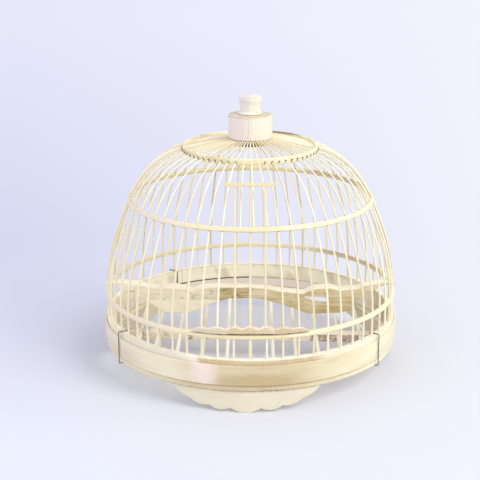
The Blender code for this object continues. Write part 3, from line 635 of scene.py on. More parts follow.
def finish(name, mesh, look, body, nodes, smooth_angle):
    """Puts the mesh in the scene as a piece that rides on body and stands for nodes."""
    face_out(mesh)
    mesh.polygons.foreach_set("use_smooth", [True] * len(mesh.polygons))
    mesh.set_sharp_from_angle(angle=smooth_angle)
    mesh.materials.append(LOOKS[look])
    made = linked(name, mesh)
    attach(made, body)
    if nodes:
        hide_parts(*nodes)


def skin(name, rows):
    """An object with a closed skin over rows of points."""
    mesh = Piece().loft(rows, plain, plain).mesh(name)
    face_out(mesh)
    return linked(name, mesh)


def plain(_row, _number, _point):
    return (0.5, 0.0, 0.0)


def in_place(_row, _number, point):
    """Grain along the X axis."""
    return tuple(point)


def soft_box(left, right, low, high, inset, rise, parts=1):
    """A closed outline of a box whose corners are rounded; each side is split into parts."""
    corners = ((left, low), (right, low), (right, high), (left, high))
    arcs = []
    for number, (x, y) in enumerate(corners):
        centre = Vector((x + (inset if x == left else -inset), y + (rise if y == low else -rise)))
        turns = evenly(math.pi * (1 + number / 2), math.pi * (1.5 + number / 2), CORNER_STEPS)
        arcs.append([centre + Vector((inset * math.cos(turn), rise * math.sin(turn))) for turn in turns])
    outline = []
    for arc, following in zip(arcs, [*arcs[1:], arcs[0]]):
        outline += arc
        outline += [arc[-1].lerp(following[0], part / parts) for part in range(1, parts)]
    return outline


def rounded(corners, edge, steps=3, closed=True):
    """An outline of 2-D corners, each rounded by edge, but for the two ends of an open one."""
    corners = [Vector(corner) for corner in corners]
    outline = []
    for before, corner, after in zip([corners[-1], *corners], corners, [*corners[1:], corners[0]]):
        back = before - corner
        on = after - corner
        cut = min(edge, back.length * CORNER_CUT_SHARE, on.length * CORNER_CUT_SHARE)
        start = corner + back.normalized() * cut
        end = corner + on.normalized() * cut
        for share in evenly(0, 1, steps):
            outline.append(start * (1 - share) ** 2 + corner * (2 * share * (1 - share)) + end * share**2)
    if closed:
        return outline
    return [corners[0], *outline[steps + 1 : -steps - 1], corners[-1]]


def filled(outline, spacing, closed=True):
    """The outline with points added, so that none are further apart than spacing."""
    outline = [Vector(spot) for spot in outline]
    points = []
    following = [*outline[1:], outline[0]] if closed else outline[1:]
    for start, end in zip(outline, following):
        parts = max(1, math.ceil((end - start).length / spacing))
        points.extend(start.lerp(end, part / parts) for part in range(parts))
    return points if closed else [*points, outline[-1]]


def lengths_along(outline):
    total = [0.0]
    for start, end in zip(outline, outline[1:]):
        total.append(total[-1] + (end - start).length)
    return total


def box_shares(outline):
    """Each point's place in the outline's box, as shares of its width and height."""
    low, high = [[pick(places) for places in zip(*outline)] for pick in (min, max)]
    return [[(place - a) / (b - a) for place, a, b in zip(spot, low, high)] for spot in outline]


def tube_rows(points, sideways, radii, sides, closed=False):
    """Rounds of points about a line; sideways is square to it at each point."""
    rows = []
    turns = [math.tau * side / sides for side in range(sides)]
    for number, (point, side, radius) in enumerate(zip(points, sideways, radii)):
        before = points[number - 1] if closed or number > 0 else point
        after = points[(number + 1) % len(points)] if closed or number < len(points) - 1 else point
        across = (after - before).normalized().cross(side)
        spokes = [side * (radius * math.cos(turn)) for turn in turns]
        risers = [across * (radius * math.sin(turn)) for turn in turns]
        rows.append([point + spoke + riser for spoke, riser in zip(spokes, risers)])
    return rows


def add_rod(piece, points, sideways, radii, sides, radius, along, seed, look_of):
    """A rod with its grain along it: along has each round's place in it, and radius gives its girth."""

    def grain_of(row, number, _point):
        return (along[row], number / sides * math.tau * radius, seed)

    piece.loft(tube_rows(points, sideways, radii, sides), grain_of, look_of)


def swept(name, look, section, look_of, nodes, start=math.pi, sweep=math.tau, seed=0.0):
    """A section of (radius, height) points swept round the Z axis.

    look_of takes a point's turn in degrees, its shares across and up the section, and the point.
    """
    closed = sweep >= math.tau
    count = max(4, round(HOOP_STEPS * sweep / math.tau))
    angles = evenly(start, start + sweep, count)[: count if closed else count + 1]
    turns = [turn_of(angle) for angle in angles]
    along = lengths_along(section)
    shares = box_shares(section)
    piece = Piece().loft(
        [[radial(spot.x, angle, spot.y) for spot in section] for angle in angles],
        lambda row, number, _point: (angles[row] * WALL_RADIUS, along[number], seed),
        lambda row, number, point: look_of(turns[row], *shares[number], point),
        ring=closed,
    )
    piece.make(name, look, "cage", nodes)


# Bars


def curve(start, start_way, end, end_way, pull_share, steps):
    """Points between start and end, both left out, on a cubic curve with the given end directions."""
    pull = (end - start).length * pull_share
    first = start + start_way * pull
    second = end - end_way * pull
    points = []
    for share in evenly(0, 1, steps)[1:-1]:
        rest = 1 - share
        inner = first * (3 * rest**2 * share) + second * (3 * rest * share**2)
        points.append(start * rest**3 + inner + end * share**3)
    return points


def wall_line():
    rise = curve(LOWER_RUN_END, UP, UPPER_RUN[0], UPPER_WAY, WALL_PULL_SHARE, WALL_STEPS)
    return [FOOT_POINT, LOWER_RUN_END, *rise, UPPER_RUN[0]]


def dome_line():
    bend = curve(UPPER_RUN[1], UPPER_WAY, CROWN_RUN_START, TIP_WAY, DOME_PULL_SHARE, DOME_STEPS)
    return [UPPER_RUN[1], *bend, CROWN_RUN_START, TIP]


def bar_radius(height):
    return mix(BAR_FOOT_RADIUS, BAR_TIP_RADIUS, (height - FOOT_POINT.y) / (TIP.y - FOOT_POINT.y))


def add_bar(piece, line, angles, chance):
    """A round split bar with its own tone, wave and knots, painted shade down one side, and painted light
    that makes the rear bars paler.
    """
    wave = chance.uniform(-1, 1) * BAR_WAVE
    phase = chance.uniform(0, math.tau)
    tone = chance.choice((0.78, 0.86, 0.94, 1.0, 0.70))
    # Rear bars are painted paler and pinker, as painted light.
    rear = ramp(math.cos(angles[0]), 0.2, -0.4)
    left = ramp(math.sin(angles[0]), 0.0, -0.5)
    # One side of each bar takes painted shade; the next two draws pick that side and how dark it is.
    shaded_side = chance.randrange(BAR_SIDES)
    edge = chance.choice((0.20, 0.40, 0.65, 0.95))
    pink = chance.choice((0.0, 0.0, 0.2, 0.45)) + 0.25 * left + 0.15 * rear
    seed = chance.uniform(0, 9)
    thick = 1 + chance.uniform(-1, 1) * BAR_LIFT_SHARE
    points = []
    for spot, angle in zip(line, angles):
        sway = wave * math.sin(phase + spot.y * BAR_WAVE_RATE) * ramp(spot.y, RING_TOP, LOWER_HOOP_HEIGHT)
        points.append(radial(spot.x, angle + sway * ramp(spot.x, 0, WALL_RADIUS) / WALL_RADIUS, spot.y))
    sideways = [sideways_at(angle) for angle in angles]
    radii = [bar_radius(spot.y) * thick for spot in line]
    along = [length + seed for length in lengths_along(line)]

    def look_of(row, number, _point):
        turn = math.cos(math.tau * (number - shaded_side) / BAR_SIDES)
        painted_shade = edge * max(0.0, turn) ** 2
        knot = bump_at(math.fmod(along[row], KNOT_PITCH), KNOT_PITCH / 2, KNOT_HALF_LENGTH)
        near = ramp(line[row].x, CROWN_RADIUS, TIP_RADIUS)
        # The sum holds the painted shade down one side, darker knots, and a darker tone towards the hub.
        shade = 0.9 * painted_shade + 0.15 * knot + 0.4 * near
        return (tone + 0.2 * rear - shade, 0.45 * painted_shade, pink * max(0.0, -turn) + 0.2 * painted_shade)

    add_rod(piece, points, sideways, radii, BAR_SIDES, BAR_FOOT_RADIUS, along, seed, look_of)


def full_angles():
    gate = {number % BAR_COUNT for number in GATE_BARS}
    return [number * PITCH for number in range(BAR_COUNT) if number not in gate]


def panels():
    """Each sector of the inner ring: its number, and its start and end in bars."""
    joints = [*PANEL_JOINT_BARS, PANEL_JOINT_BARS[0] + BAR_COUNT]
    return [(f"{index + 1:02d}", *ends) for index, ends in enumerate(zip(joints, joints[1:]))]


def make_bars():
    chance = random.Random(11)
    full = filled([*wall_line(), *dome_line()], BAR_SPACING, closed=False)
    short = filled([FOOT_POINT, LOWER_SEAT], SHORT_BAR_SPACING, closed=False)
    for panel, start, end in panels():
        piece = Piece()
        for number in range(math.ceil(start), math.ceil(end)):
            line = short if number in GATE_BARS else full
            add_bar(piece, line, [number * PITCH] * len(line), chance)
        piece.make("bars_" + panel, "bar", "cage", ["bar_panel_" + panel])
    line = filled([UPPER_SEAT, *dome_line()], BAR_SPACING, closed=False)
    shifts = [SHORT_BAR_SHIFT * (spot.x - TIP.x) / (UPPER_SEAT.x - TIP.x) for spot in line]
    for index, number in enumerate(GATE_BARS):
        piece = Piece()
        add_bar(piece, line, [number * PITCH + shift for shift in shifts], chance)
        piece.make(f"short_bar_{index + 1}", "bar", "cage", [f"upper_short_bar_{index + 1}"])


def add_collars(piece, seat, way, half_run, grow, reach, ends=(-1, 1)):
    """Painted shade round each bar where it enters and leaves a hoop: thin dark collars at the holes."""
    for angle in full_angles():
        for end in ends:
            line = [seat + way * (end * (half_run + step)) for step in (-reach, reach)]
            points = [radial(spot.x, angle, spot.y) for spot in line]
            radii = [bar_radius(seat.y) + grow, bar_radius(seat.y) + grow / 2]
            piece.loft(tube_rows(points, [sideways_at(angle)] * 2, radii, BAR_SIDES), in_place, plain)


def make_collars():
    piece = Piece()
    add_collars(piece, UPPER_SEAT, UPPER_WAY, UPPER_HOOP_DEPTH / 2, COLLAR_GROW, COLLAR_REACH)
    half_run = CROWN_THICKNESS / 2 / abs(TIP_WAY.x)
    add_collars(piece, CROWN_SEAT, TIP_WAY, half_run, CROWN_COLLAR_GROW, CROWN_COLLAR_REACH, ends=(-1,))
    piece.make("hole_shade_rims", "hole", "cage")


# Hoops and base


def make_hoop(name, seat, way, depth, thickness, look_of, node):
    out = Vector((way.y, -way.x)) * (thickness / 2)
    up = way * (depth / 2)
    outline = rounded([seat + out + up, seat + out - up, seat - out - up, seat - out + up], HOOP_EDGE)
    swept(name, "hoop", filled(outline, HOOP_SPACING), look_of, [node])


def hoop_look(seat, depth, scarf, board_shade_turn, dark_turn, brown_share):
    """Paler past the scarf joint, pinker at the left, browner at the rear right, with painted shade on the
    underside and along the top in the gap under the boards.
    """

    def look_of(turn, _across, _rise, point):
        out = (math.hypot(point.x, point.y) - seat.x) / HOOP_THICKNESS
        rise = (point.z - seat.y) / depth
        tone = 0.66 + 0.22 * ramp(turn, scarf, scarf + 1.5) - 0.10 * ramp(abs(turn), 30, 4)
        cut = bump_at(turn, scarf + rise * 4.5, 0.5) * ramp(abs(rise), 0.55, 0.40)
        # The underside takes painted shade, darker still along the front of the upper hoop; the top edge
        # under the boards and door takes painted shade in the gap.
        low = ramp(rise, -0.26, -0.46)
        top = ramp(rise, 0.30, 0.45) * ramp(out, -0.130, 0.348)
        shade_and_stain = 0.85 * top * ramp(abs(turn), board_shade_turn, board_shade_turn - 2)
        shade_and_stain += 0.75 * low * ramp(abs(turn), dark_turn, dark_turn - 3)
        shade_and_stain += brown_share * span(turn, 96, 112, 140, 166) * mix(0.7, 1.0, ramp(rise, -0.1, 0.35))
        return (tone - 0.35 * low, shade_and_stain + 0.6 * cut, 0.6 * span(turn, -150, -110, -40, -12))

    return look_of


def crown_look(turn, across, rise, point):
    rear = ramp(abs(turn), 100, 150)
    # Darker along the top at the rear.
    rear_darkening = ramp(turn, 118, 132) + 0.8 * bump_at(turn, -128, 9)
    low = ramp(rise, 0.417, 0.139) * ramp(across, 0.65, 0.90)
    tan = ramp(turn, 30, -30) * ramp(turn, -150, -90) + 0.6 * ramp(abs(turn), 90, 140)
    uneven = 0.5 * mottle(point, UNEVEN_SCALES)
    return (0.86 - 0.30 * low - 0.34 * tan + uneven, 1.1 * rear * rear_darkening * ramp(rise, 0.667, 0.917), 0.0)


def make_hoops():
    look = hoop_look(LOWER_SEAT, LOWER_HOOP_DEPTH, 12.6, 22.0, 1.0, 0.74)
    make_hoop("hoop_lower", LOWER_SEAT, UP, LOWER_HOOP_DEPTH, HOOP_THICKNESS, look, "lower_hoop")
    look = hoop_look(UPPER_SEAT, UPPER_HOOP_DEPTH, 14.0, 1.0, 19.0, 0.76)
    make_hoop("hoop_upper", UPPER_SEAT, UPPER_WAY, UPPER_HOOP_DEPTH, HOOP_THICKNESS, look, "upper_hoop")
    middle = CROWN_SEAT + UP * ((CROWN_ABOVE_BARS - CROWN_BELOW_BARS) / 2)
    depth = CROWN_ABOVE_BARS + CROWN_BELOW_BARS
    make_hoop("hoop_crown", middle, UP, depth, CROWN_THICKNESS, crown_look, "crown_ring")


def base_section(corners):
    return filled(rounded(corners, BASE_EDGE, steps=2), BASE_SPACING)


def ring_section():
    deep = RING_INNER_RADIUS + RING_GROOVE_DEPTH
    low, high = [RING_GROOVE_LEVEL + side * RING_GROOVE_HEIGHT / 2 for side in (-1, 1)]
    corners = [(RING_OUTER_RADIUS, RING_TOP), (RING_OUTER_RADIUS, BASE_BOTTOM)]
    corners += [(RING_INNER_RADIUS, BASE_BOTTOM), (RING_INNER_RADIUS, low), (deep, low), (deep, high)]
    corners += [(RING_INNER_RADIUS, high), (RING_INNER_RADIUS, RING_TOP)]
    return base_section(corners)


def ring_look(turn, across, rise, point):
    """The inner ring is pale at the rear. Inside it takes painted shade: grey-pink below its groove, dark in
    the groove, blotched at the rear, darker at the left and brown at the right end.
    """
    rear = ramp(abs(turn), 100, 130)
    left = span(turn, -128, -112, -80, -55)
    right = span(turn, 52, 72, 104, 122)
    inside = ramp(across, 0.441, 0.088)
    outer = ramp(across, 0.853, 0.971)
    low = ramp(rise, 0.40, 0.34)
    groove = ramp(abs(rise - RING_GROOVE_SHARE), 0.037, 0.023) * ramp(abs(turn), 132, 146)
    edge = ramp(rise, 0.953, 0.987) * rear
    blot = mottle((point.x * 75, point.y * 75, point.z * 60 + point.x * 40))
    shade = max(0.0, blot) * rear * (1 - low)
    # Painted shade inside: at the left and right ends, below the groove, and in blots standing for bar
    # shadows at the rear.
    tone = 0.96 - inside * (0.28 * left + 0.50 * right + 0.10 * low + 0.55 * edge + 1.1 * shade)
    # How dark the painted shade in the groove is, round the ring.
    painted_shade = 0.15 + 0.95 * ramp(turn, -130, -142) + 0.35 * ramp(turn, 140, 160)
    soil_and_shade = inside * (groove * painted_shade + 0.55 * right + 0.30 * left * low)
    blush = inside * (low * mix(0.25, 0.85, ramp(abs(turn), 100, 150)) + 0.5 * shade)
    strip = ramp(rise, 0.993, 0.963) * outer * span(turn, -20.5, -18, 22, 30)
    ledge = span(turn, -100, -70, -30, -22) + 0.7 * span(turn, 18, 30, 80, 110)
    scrape = ramp(rise, 0.953, 0.980) * bump_at(turn, -24, 5)
    green = outer * (bump_at(turn, 12.2, 1.6) + bump_at(turn, 17.5, 2.2))
    pink = 0.45 * ramp(across, 0, 1) * span(turn, -62, -40, -24, -16)
    tone += 0.2 * scrape - 0.2 * green - 0.95 * strip - 0.38 * ledge * ramp(across, 0.294, 0.853)
    return (tone, soil_and_shade + 0.34 * strip, min(1.0, blush + pink))


def band_look(turn, _across, rise, point):
    """The band is brown in front and paler to both sides, with a painted pink sheen left of the front and a
    dark foot.
    """
    front = ramp(turn, -120, -80)
    end = ramp(turn, -42, -60) * front
    low = ramp(rise, 0.832, 0.126)
    tone = 0.18 + 0.58 * ramp(turn, 4, 50) + 0.52 * ramp(turn, -12, -30) + 0.08 * ramp(turn, -60, -120)
    # The bump near -17 degrees is a painted sheen: paler here and pinker two lines below.
    tone += 0.45 * bump_at(turn, -17, 6) - 0.40 * low * ramp(abs(turn + 3), 24, 6)
    tone += 0.30 * mottle(point, (17, 17, 90)) * ramp(turn, 30, -10) - 0.24 * end
    pink = 0.9 * bump_at(turn, -17.5, 7) + 0.25 * ramp(turn, 0, -24) * front + 0.12 * end
    return (tone, 0.75 * ramp(rise, 0.059, 0.008), pink)


def rim_look(turn, across, rise, _point):
    # Painted shade in the gaps: along the lower outer edge, deepest at the front, and along the seam at the
    # top.
    low = ramp(rise, 0.217, 0.05) * ramp(across, 0.75, 0.925)
    shade_and_stain = low * (0.6 + 0.4 * span(turn, 2, 4, 11, 13)) + 0.45 * ramp(rise, 0.80, 0.95)
    tone = 0.22 + 0.66 * ramp(turn, 5, 50) + 0.38 * ramp(turn, -10, -50) + 0.28 * ramp(turn, -60, -120)
    return (tone, shade_and_stain, 0.0)


def make_base():
    section = ring_section()
    for panel, start, end in panels():
        gaps = [
            RING_JOINT_GAP / 2 / RING_OUTER_RADIUS if bar in OPEN_JOINT_BARS else 0.0 for bar in (start, end)
        ]
        swept(
            "ring_arc_" + panel, "ring", section, ring_look, ["bar_panel_" + panel],
            start=start * PITCH + gaps[0], sweep=(end - start) * PITCH - sum(gaps),
            seed=sum(bar <= start for bar in OPEN_JOINT_BARS),
        )
    top = BASE_BOTTOM + BAND_HEIGHT
    corners = [
        (BAND_OUTER_RADIUS - BAND_BULGE * (2 * share - 1) ** 2, mix(top, BASE_BOTTOM, share))
        for share in evenly(0, 1, BAND_STEPS)
    ]
    corners += [(BAND_INNER_RADIUS, BASE_BOTTOM), (BAND_INNER_RADIUS, top)]
    swept("band_outer", "band", base_section(corners), band_look, ["base_band"])
    corners = [(RIM_OUTER_RADIUS, RIM_TOP), (RIM_OUTER_RADIUS, RIM_BOTTOM)]
    corners += [(RIM_INNER_RADIUS, RIM_BOTTOM), (RIM_INNER_RADIUS, RIM_TOP)]
    swept("rim_lower", "band", base_section(corners), rim_look, ["lower_rim"])


def lobed_edge(cusps):
    """Points of an edge made of lobes between cusps, each cusp a (place, level, lobe depth)."""
    points = [cusps[0][:2]]
    for (place, level, _), (next_place, next_level, depth) in zip(cusps, cusps[1:]):
        for share in evenly(0, 1, LOBE_STEPS)[1:]:
            lift = depth * math.sin(math.pi * share)
            points.append((mix(place, next_place, share), mix(level, next_level, share) + lift))
    return points


def foot_edge():
    right = [(place, level, -drop) for place, level, drop in FOOT_CUSP_SHARES]
    left = [(-place, level, drop) for place, level, drop in reversed(right)]
    # On the left half a lobe's depth belongs to the cusp after it.
    drops = [0.0] + [row[2] for row in left[:-1]]
    left = [(*row[:2], drop) for row, drop in zip(left, drops)]
    return [(place, max(level, 0.0)) for place, level in lobed_edge(left + right)]


def arc_board(name, look, outer, inner, edges, edge, look_of, node):
    """A curved board. edges holds each row's (angle, bottom, top); look_of takes a share of the height."""
    rows = []
    for angle, bottom, top in edges:
        section = soft_box(inner, outer, bottom, top, edge, edge, BOARD_PARTS)
        rows.append([radial(spot.x, angle, spot.y) for spot in section])

    def look_at(row, _number, point):
        _angle, bottom, top = edges[row]
        return look_of((point.z - bottom) / (top - bottom), point)

    piece = Piece().loft(rows, lambda row, _number, point: (edges[row][0] * outer, point.z, outer), look_at)
    piece.make(name, look, "cage", [node], CRISP_ANGLE)


def foot_look(_share, point):
    streak = mottle((angle_of(point) * 6, point.z * 500, 3))
    return (0.58 + 0.35 * streak, 0.55 * ramp(point.z / FOOT_HEIGHT, 0.929, 0.992), 0.15)


def make_feet():
    inner = FOOT_OUTER_RADIUS - FOOT_THICKNESS
    for name, place in FOOT_PLACES:
        edges = [
            (math.radians(place) + share * FOOT_HALF_ANGLE, level * FOOT_HEIGHT, FOOT_HEIGHT)
            for share, level in foot_edge()
        ]
        node = "foot_board_" + name
        arc_board("foot_" + name, "foot", FOOT_OUTER_RADIUS, inner, edges, BASE_EDGE, foot_look, node)


def board_look(share, point):
    stripes = mottle((point.x * 500, point.z * 160, 5))
    # A painted highlight along the top edge, and painted shade in the gap along the bottom.
    top = ramp(share, 0.66, 0.86)
    tan = ramp(point.x / WALL_RADIUS, -0.059, 0.059)
    pink = (0.5 - 0.35 * tan) * (1 - top)
    return (0.12 + 0.40 * stripes + 0.62 * top - 0.10 * tan, 0.95 * ramp(share, 0.18, 0.05), pink)


def make_boards():
    for name, side in (("left", -1), ("right", 1)):
        edges = [
            (side * mix(BOARD_START_ANGLE, BOARD_END_ANGLE, place), SEAT_TOP, SEAT_TOP + level * BOARD_HEIGHT)
            for place, level in lobed_edge(BOARD_CUSP_SHARES)
        ]
        arc_board(
            "board_" + name, "aged", BOARD_OUTER_RADIUS, BOARD_INNER_RADIUS, edges, BOARD_EDGE,
            board_look, "sill_board_" + name,
        )


# Floor


def make_floor():
    socket = RIM_INNER_RADIUS + ROD_SOCKET_DEPTH
    for index, (place, shade) in enumerate(ROD_SHARES):
        x = place * RIM_INNER_RADIUS
        reach = math.sqrt(socket**2 - x**2)
        points = filled([(x, -reach, ROD_LEVEL), (x, reach, ROD_LEVEL)], BAR_SPACING, closed=False)
        swells = [ROD_SWELL_SHARE * mottle(point, ROD_SWELL_SCALES) for point in points]
        radii = [FLOOR_ROD_RADIUS * (1 + swell) for swell in swells]
        look = (0.45 + 0.6 * shade, 0.0, 0.3 * ramp(shade, 0.4, 0.2))
        piece = Piece()
        add_rod(
            piece, points, [sideways_at(0)] * len(points), radii, FLOOR_ROD_SIDES, FLOOR_ROD_RADIUS,
            [point.y for point in points], x, lambda *_: look,
        )
        piece.make(f"rod_{index + 1:02d}", "rod", "cage", [f"floor_rod_{index + 1:02d}"])


def crossbar_rows(reach, width, height, level, edge):
    rows = []
    for x in evenly(-reach, reach, math.ceil(2 * reach / CROSSBAR_STEP)):
        y = -CROSSBAR_FORWARD - CROSSBAR_SLOPE * x
        section = soft_box(y - width / 2, y + width / 2, level - height / 2, level + height / 2, edge, edge)
        rows.append([Vector((x, *spot)) for spot in section])
    return rows


def crossbar_look(_row, _number, point):
    """Mould to the left, a brown and pink end to the right, and a painted highlight on the top face, which
    keeps the spots and the brown end off it.
    """
    place = point.x / CROSSBAR_REACH
    # The top face takes a painted highlight.
    top = ramp((CROSSBAR_TOP - point.z) / CROSSBAR_HEIGHT, 0.103, 0.021)
    clusters = span(place, -0.977, -0.928, -0.754, -0.693) + bump_at(place, -0.631, 0.056)
    spots = bump_at(place, -0.445, 0.043) + 0.7 * bump_at(place, -0.322, 0.037)
    right = ramp(place, 0.427, 0.452) * (1 - top)
    mould = 0.55 * clusters + 0.80 * spots * (1 - top)
    return (0.90 + 0.10 * top - 0.3 * right, mould + 0.66 * right, 0.15 + 0.75 * right)


def make_crossbar():
    level = CROSSBAR_TOP - CROSSBAR_HEIGHT / 2
    rows = crossbar_rows(CROSSBAR_REACH, CROSSBAR_WIDTH, CROSSBAR_HEIGHT, level, CROSSBAR_EDGE)
    piece = Piece().loft(rows, in_place, crossbar_look)
    rows = crossbar_rows(CROSSBAR_REACH + TENON_LENGTH, TENON_WIDTH, TENON_HEIGHT, ROD_LEVEL, TENON_EDGE)
    piece.loft(rows, in_place, crossbar_look)
    piece.make("crossbar", "aged", "cage", ["floor_crossbar"])


# Perch


def perch_shape(place):
    """Top, underside and depth of the perch at a place along it, with the corners between rows eased."""
    found = Vector((0, 0, 0))
    offsets = [share * PERCH_BLUR_SHARE for share in (-2, -1, 0, 1, 2)]
    for offset in offsets:
        spot = min(1.0, max(-1.0, place + offset))
        pairs = zip(PERCH_SHARES, PERCH_SHARES[1:])
        before, after = next((before, after) for before, after in pairs if spot <= after[0])
        share = (spot - before[0]) / (after[0] - before[0])
        found += Vector(before[1:]).lerp(Vector(after[1:]), share) / len(offsets)
    return found


def perch_rows():
    rows = []
    for place in evenly(-1, 1, math.ceil(2 * PERCH_HALF_SPAN / PERCH_STEP)):
        top, under, depth = perch_shape(place)
        high = SEAT_TOP + top * PERCH_HANG
        low = SEAT_TOP + under * PERCH_HANG
        half = PERCH_DEPTH / 2 * depth
        inset = half * (1 - PERCH_FLAT_SHARE)
        rise = min(inset, (high - low) * PERCH_ROUND_SHARE)
        section = soft_box(-half, half, low, high, inset, rise, PERCH_PARTS)
        rows.append([Vector((place * PERCH_HALF_SPAN, *spot)) for spot in section])
    return rows


def perch_cutters():
    """The slots that straddle a bar at each end, and the slit through the right half."""
    half = PERCH_SLOT_WIDTH / 2
    low = SEAT_TOP - PERCH_HANG
    high = SEAT_TOP + PERCH_HANG
    corners = ((-half, low), (half, low), (half, high), (-half, high))
    cutters = []
    for side in (-1, 1):
        ends = [side * (PERCH_HALF_SPAN + reach) for reach in (-PERCH_SLOT_LENGTH, PERCH_SLOT_LENGTH)]
        cutters.append([[Vector((x, *corner)) for corner in corners] for x in ends])
    middle = PERCH_SLIT_PLACE_SHARE * PERCH_HALF_SPAN
    level = SEAT_TOP - PERCH_SLIT_DROP_SHARE * PERCH_HANG
    rows = []
    corners = [
        (middle + place * PERCH_SLIT_LENGTH, level + rise * PERCH_SLIT_HEIGHT)
        for place, rise in PERCH_SLIT_SHARES
    ]
    outline = rounded(corners, PERCH_SLIT_EDGE)
    for y in (-PERCH_DEPTH, PERCH_DEPTH):
        rows.append([Vector((spot.x, y, spot.y - PERCH_SLIT_FALL_SHARE * y)) for spot in outline])
    return [*cutters, rows]


def perch_look(point, normal):
    """A painted highlight on faces that look up, brown and white lobes at the left, dark in the middle, ochre
    at the right.
    """
    place = point.x / PERCH_HALF_SPAN
    level = (point.z - SEAT_TOP) / PERCH_HANG
    # Faces that look up take a painted highlight; most marks keep to the sides.
    top = ramp(normal.z, 0.35, 0.75)
    side = 1 - top
    blotch = mottle(point, (60, 60, 90))
    lobe = span(place, -0.876, -0.789, -0.292, -0.175) * ramp(level, -0.49, -0.56)
    middle = span(place, -0.245, -0.199, -0.023, 0.023) * side
    left = ramp(place, -0.175, -0.351) * side
    tone = 0.62 + 0.26 * mottle(point, (35, 300, 420)) + 0.22 * blotch + 0.50 * lobe - 0.38 * middle
    tone += 0.10 * left - 0.28 * ramp(place, 0.0, 0.175) * side + 0.35 * top
    tone += 0.25 * ramp(abs(place), 0.701, 0.847)
    veins = mottle((point.x * 28 + point.z * 60, point.y * 200, point.z * 120))
    crack = ramp(abs(veins), 0.05, 0.0) * (1 - lobe)
    soil_and_shade = 0.34 * middle + (0.60 * max(0.0, blotch - 0.20) + 0.62 * crack) * side
    return (tone, soil_and_shade, 0.15 * top + 0.15 * lobe + 0.20 * left * (1 - lobe))


def make_perch():
    body = skin("perch_body", perch_rows())
    for vertex in body.data.vertices:
        lift = 0.6 * mottle(vertex.co, PERCH_FINE_SCALES) + 1.2 * mottle(vertex.co, PERCH_BROAD_SCALES)
        vertex.co += vertex.normal * (lift * ramp(abs(vertex.co.x), *PERCH_RELIEF_END) * PERCH_RELIEF)
    cutters = [skin("perch_cutter", rows) for rows in perch_cutters()]
    for cutter in cutters:
        modifier = body.modifiers.new("cut", "BOOLEAN")
        modifier.operation = "DIFFERENCE"
        modifier.solver = "EXACT"
        modifier.object = cutter
    graph = bpy.context.evaluated_depsgraph_get()
    mesh = bpy.data.meshes.new_from_object(body.evaluated_get(graph))
    for used in (body, *cutters):
        bpy.data.objects.remove(used, do_unlink=True)
    grains = [tuple(vertex.co) for vertex in mesh.vertices]
    set_attributes(mesh, grains, [perch_look(vertex.co, vertex.normal) for vertex in mesh.vertices])
    finish("driftwood_perch", mesh, "drift", "cage", ["perch"], CRISP_ANGLE)


# Hub and knob


def turned(name, corners, edge, look_of, node, lift=lambda _spot, _angle: 0.0):
    """A body turned round the Z axis from (radius, height) corners. look_of takes what swept's takes."""
    profile = rounded(corners, edge, closed=False)
    profile = [(AXIS_RADIUS, profile[0].y), *profile, (AXIS_RADIUS, profile[-1].y)]
    profile = filled(profile, TURNED_STEP, closed=False)
    angles = evenly(0, math.tau, HUB_STEPS)[:-1]
    turns = [turn_of(angle) for angle in angles]
    along = lengths_along(profile)
    shares = box_shares(profile)
    piece = Piece().loft(
        [[radial(spot.x, angle, spot.y + lift(spot, angle)) for angle in angles] for spot in profile],
        lambda row, number, _point: (along[row], angles[number] * HUB_RADIUS, AXIS_RADIUS),
        lambda row, number, point: look_of(turns[number], *shares[row], point),
    )
    piece.make(name, "turned", "cage", [node])


def notch_share(angle):
    """1 in the hub's notch over a bar and 0 between two."""
    away = abs(math.fmod(angle + PITCH / 2, PITCH) - PITCH / 2) * HUB_RADIUS
    return ramp(away, HUB_NOTCH_HALF_WIDTH + HUB_NOTCH_SOFT, HUB_NOTCH_HALF_WIDTH)


def hub_lift(spot, angle):
    low = ramp(spot.y, HUB_BOTTOM + HUB_NOTCH_HEIGHT, HUB_BOTTOM + HUB_NOTCH_SOFT)
    return notch_share(angle) * low * (HUB_BOTTOM + HUB_NOTCH_HEIGHT - spot.y) * HUB_NOTCH_SHARE


def hub_look(turn, _across, _rise, point):
    """Painted shade in the notches over the bars and on the top face, cracks down the side, a line round the
    shoulder, and a painted pink shade tint on the left.
    """
    angle = math.radians(turn % 360)
    rise = (point.z - HUB_BOTTOM) / HUB_HEIGHT
    fray = 0.028 * mottle((angle * 9, 0, 7))
    # Painted shade in the notches.
    notch = notch_share(angle) * ramp(rise, 0.133 + fray, 0.070)
    notch *= (0.75 + 0.25 * math.cos(angle * BAR_COUNT / 2)) * (1 - 0.35 * ramp(turn, 4, 30))
    # Painted shade on the top face.
    flat = ramp(rise, 0.986, 1.014) * ramp(math.hypot(point.x, point.y) / HUB_RADIUS, 1.0, 0.961)
    stray = 5 * mottle((point.z * 160, 0, 2))
    crack = sum(strength * bump_at(turn + stray, place, 1.9) for place, strength in HUB_CRACKS)
    edge_line = bump_at(rise, 0.979, 0.035) * ramp(turn, 70, -10)
    soil_and_shade = 2.0 * notch + 0.55 * crack * ramp(rise, 1.0, 0.895) + 0.7 * edge_line + 0.45 * flat
    warm = 0.35 * mottle((angle * 2.2, point.z * 30, 9))
    # The left side, away from the key light, is painted pinker as a shade tint.
    return (0.74 - 0.60 * flat + warm, soil_and_shade, 0.60 * ramp(turn, 14, -16) * (1 - flat))


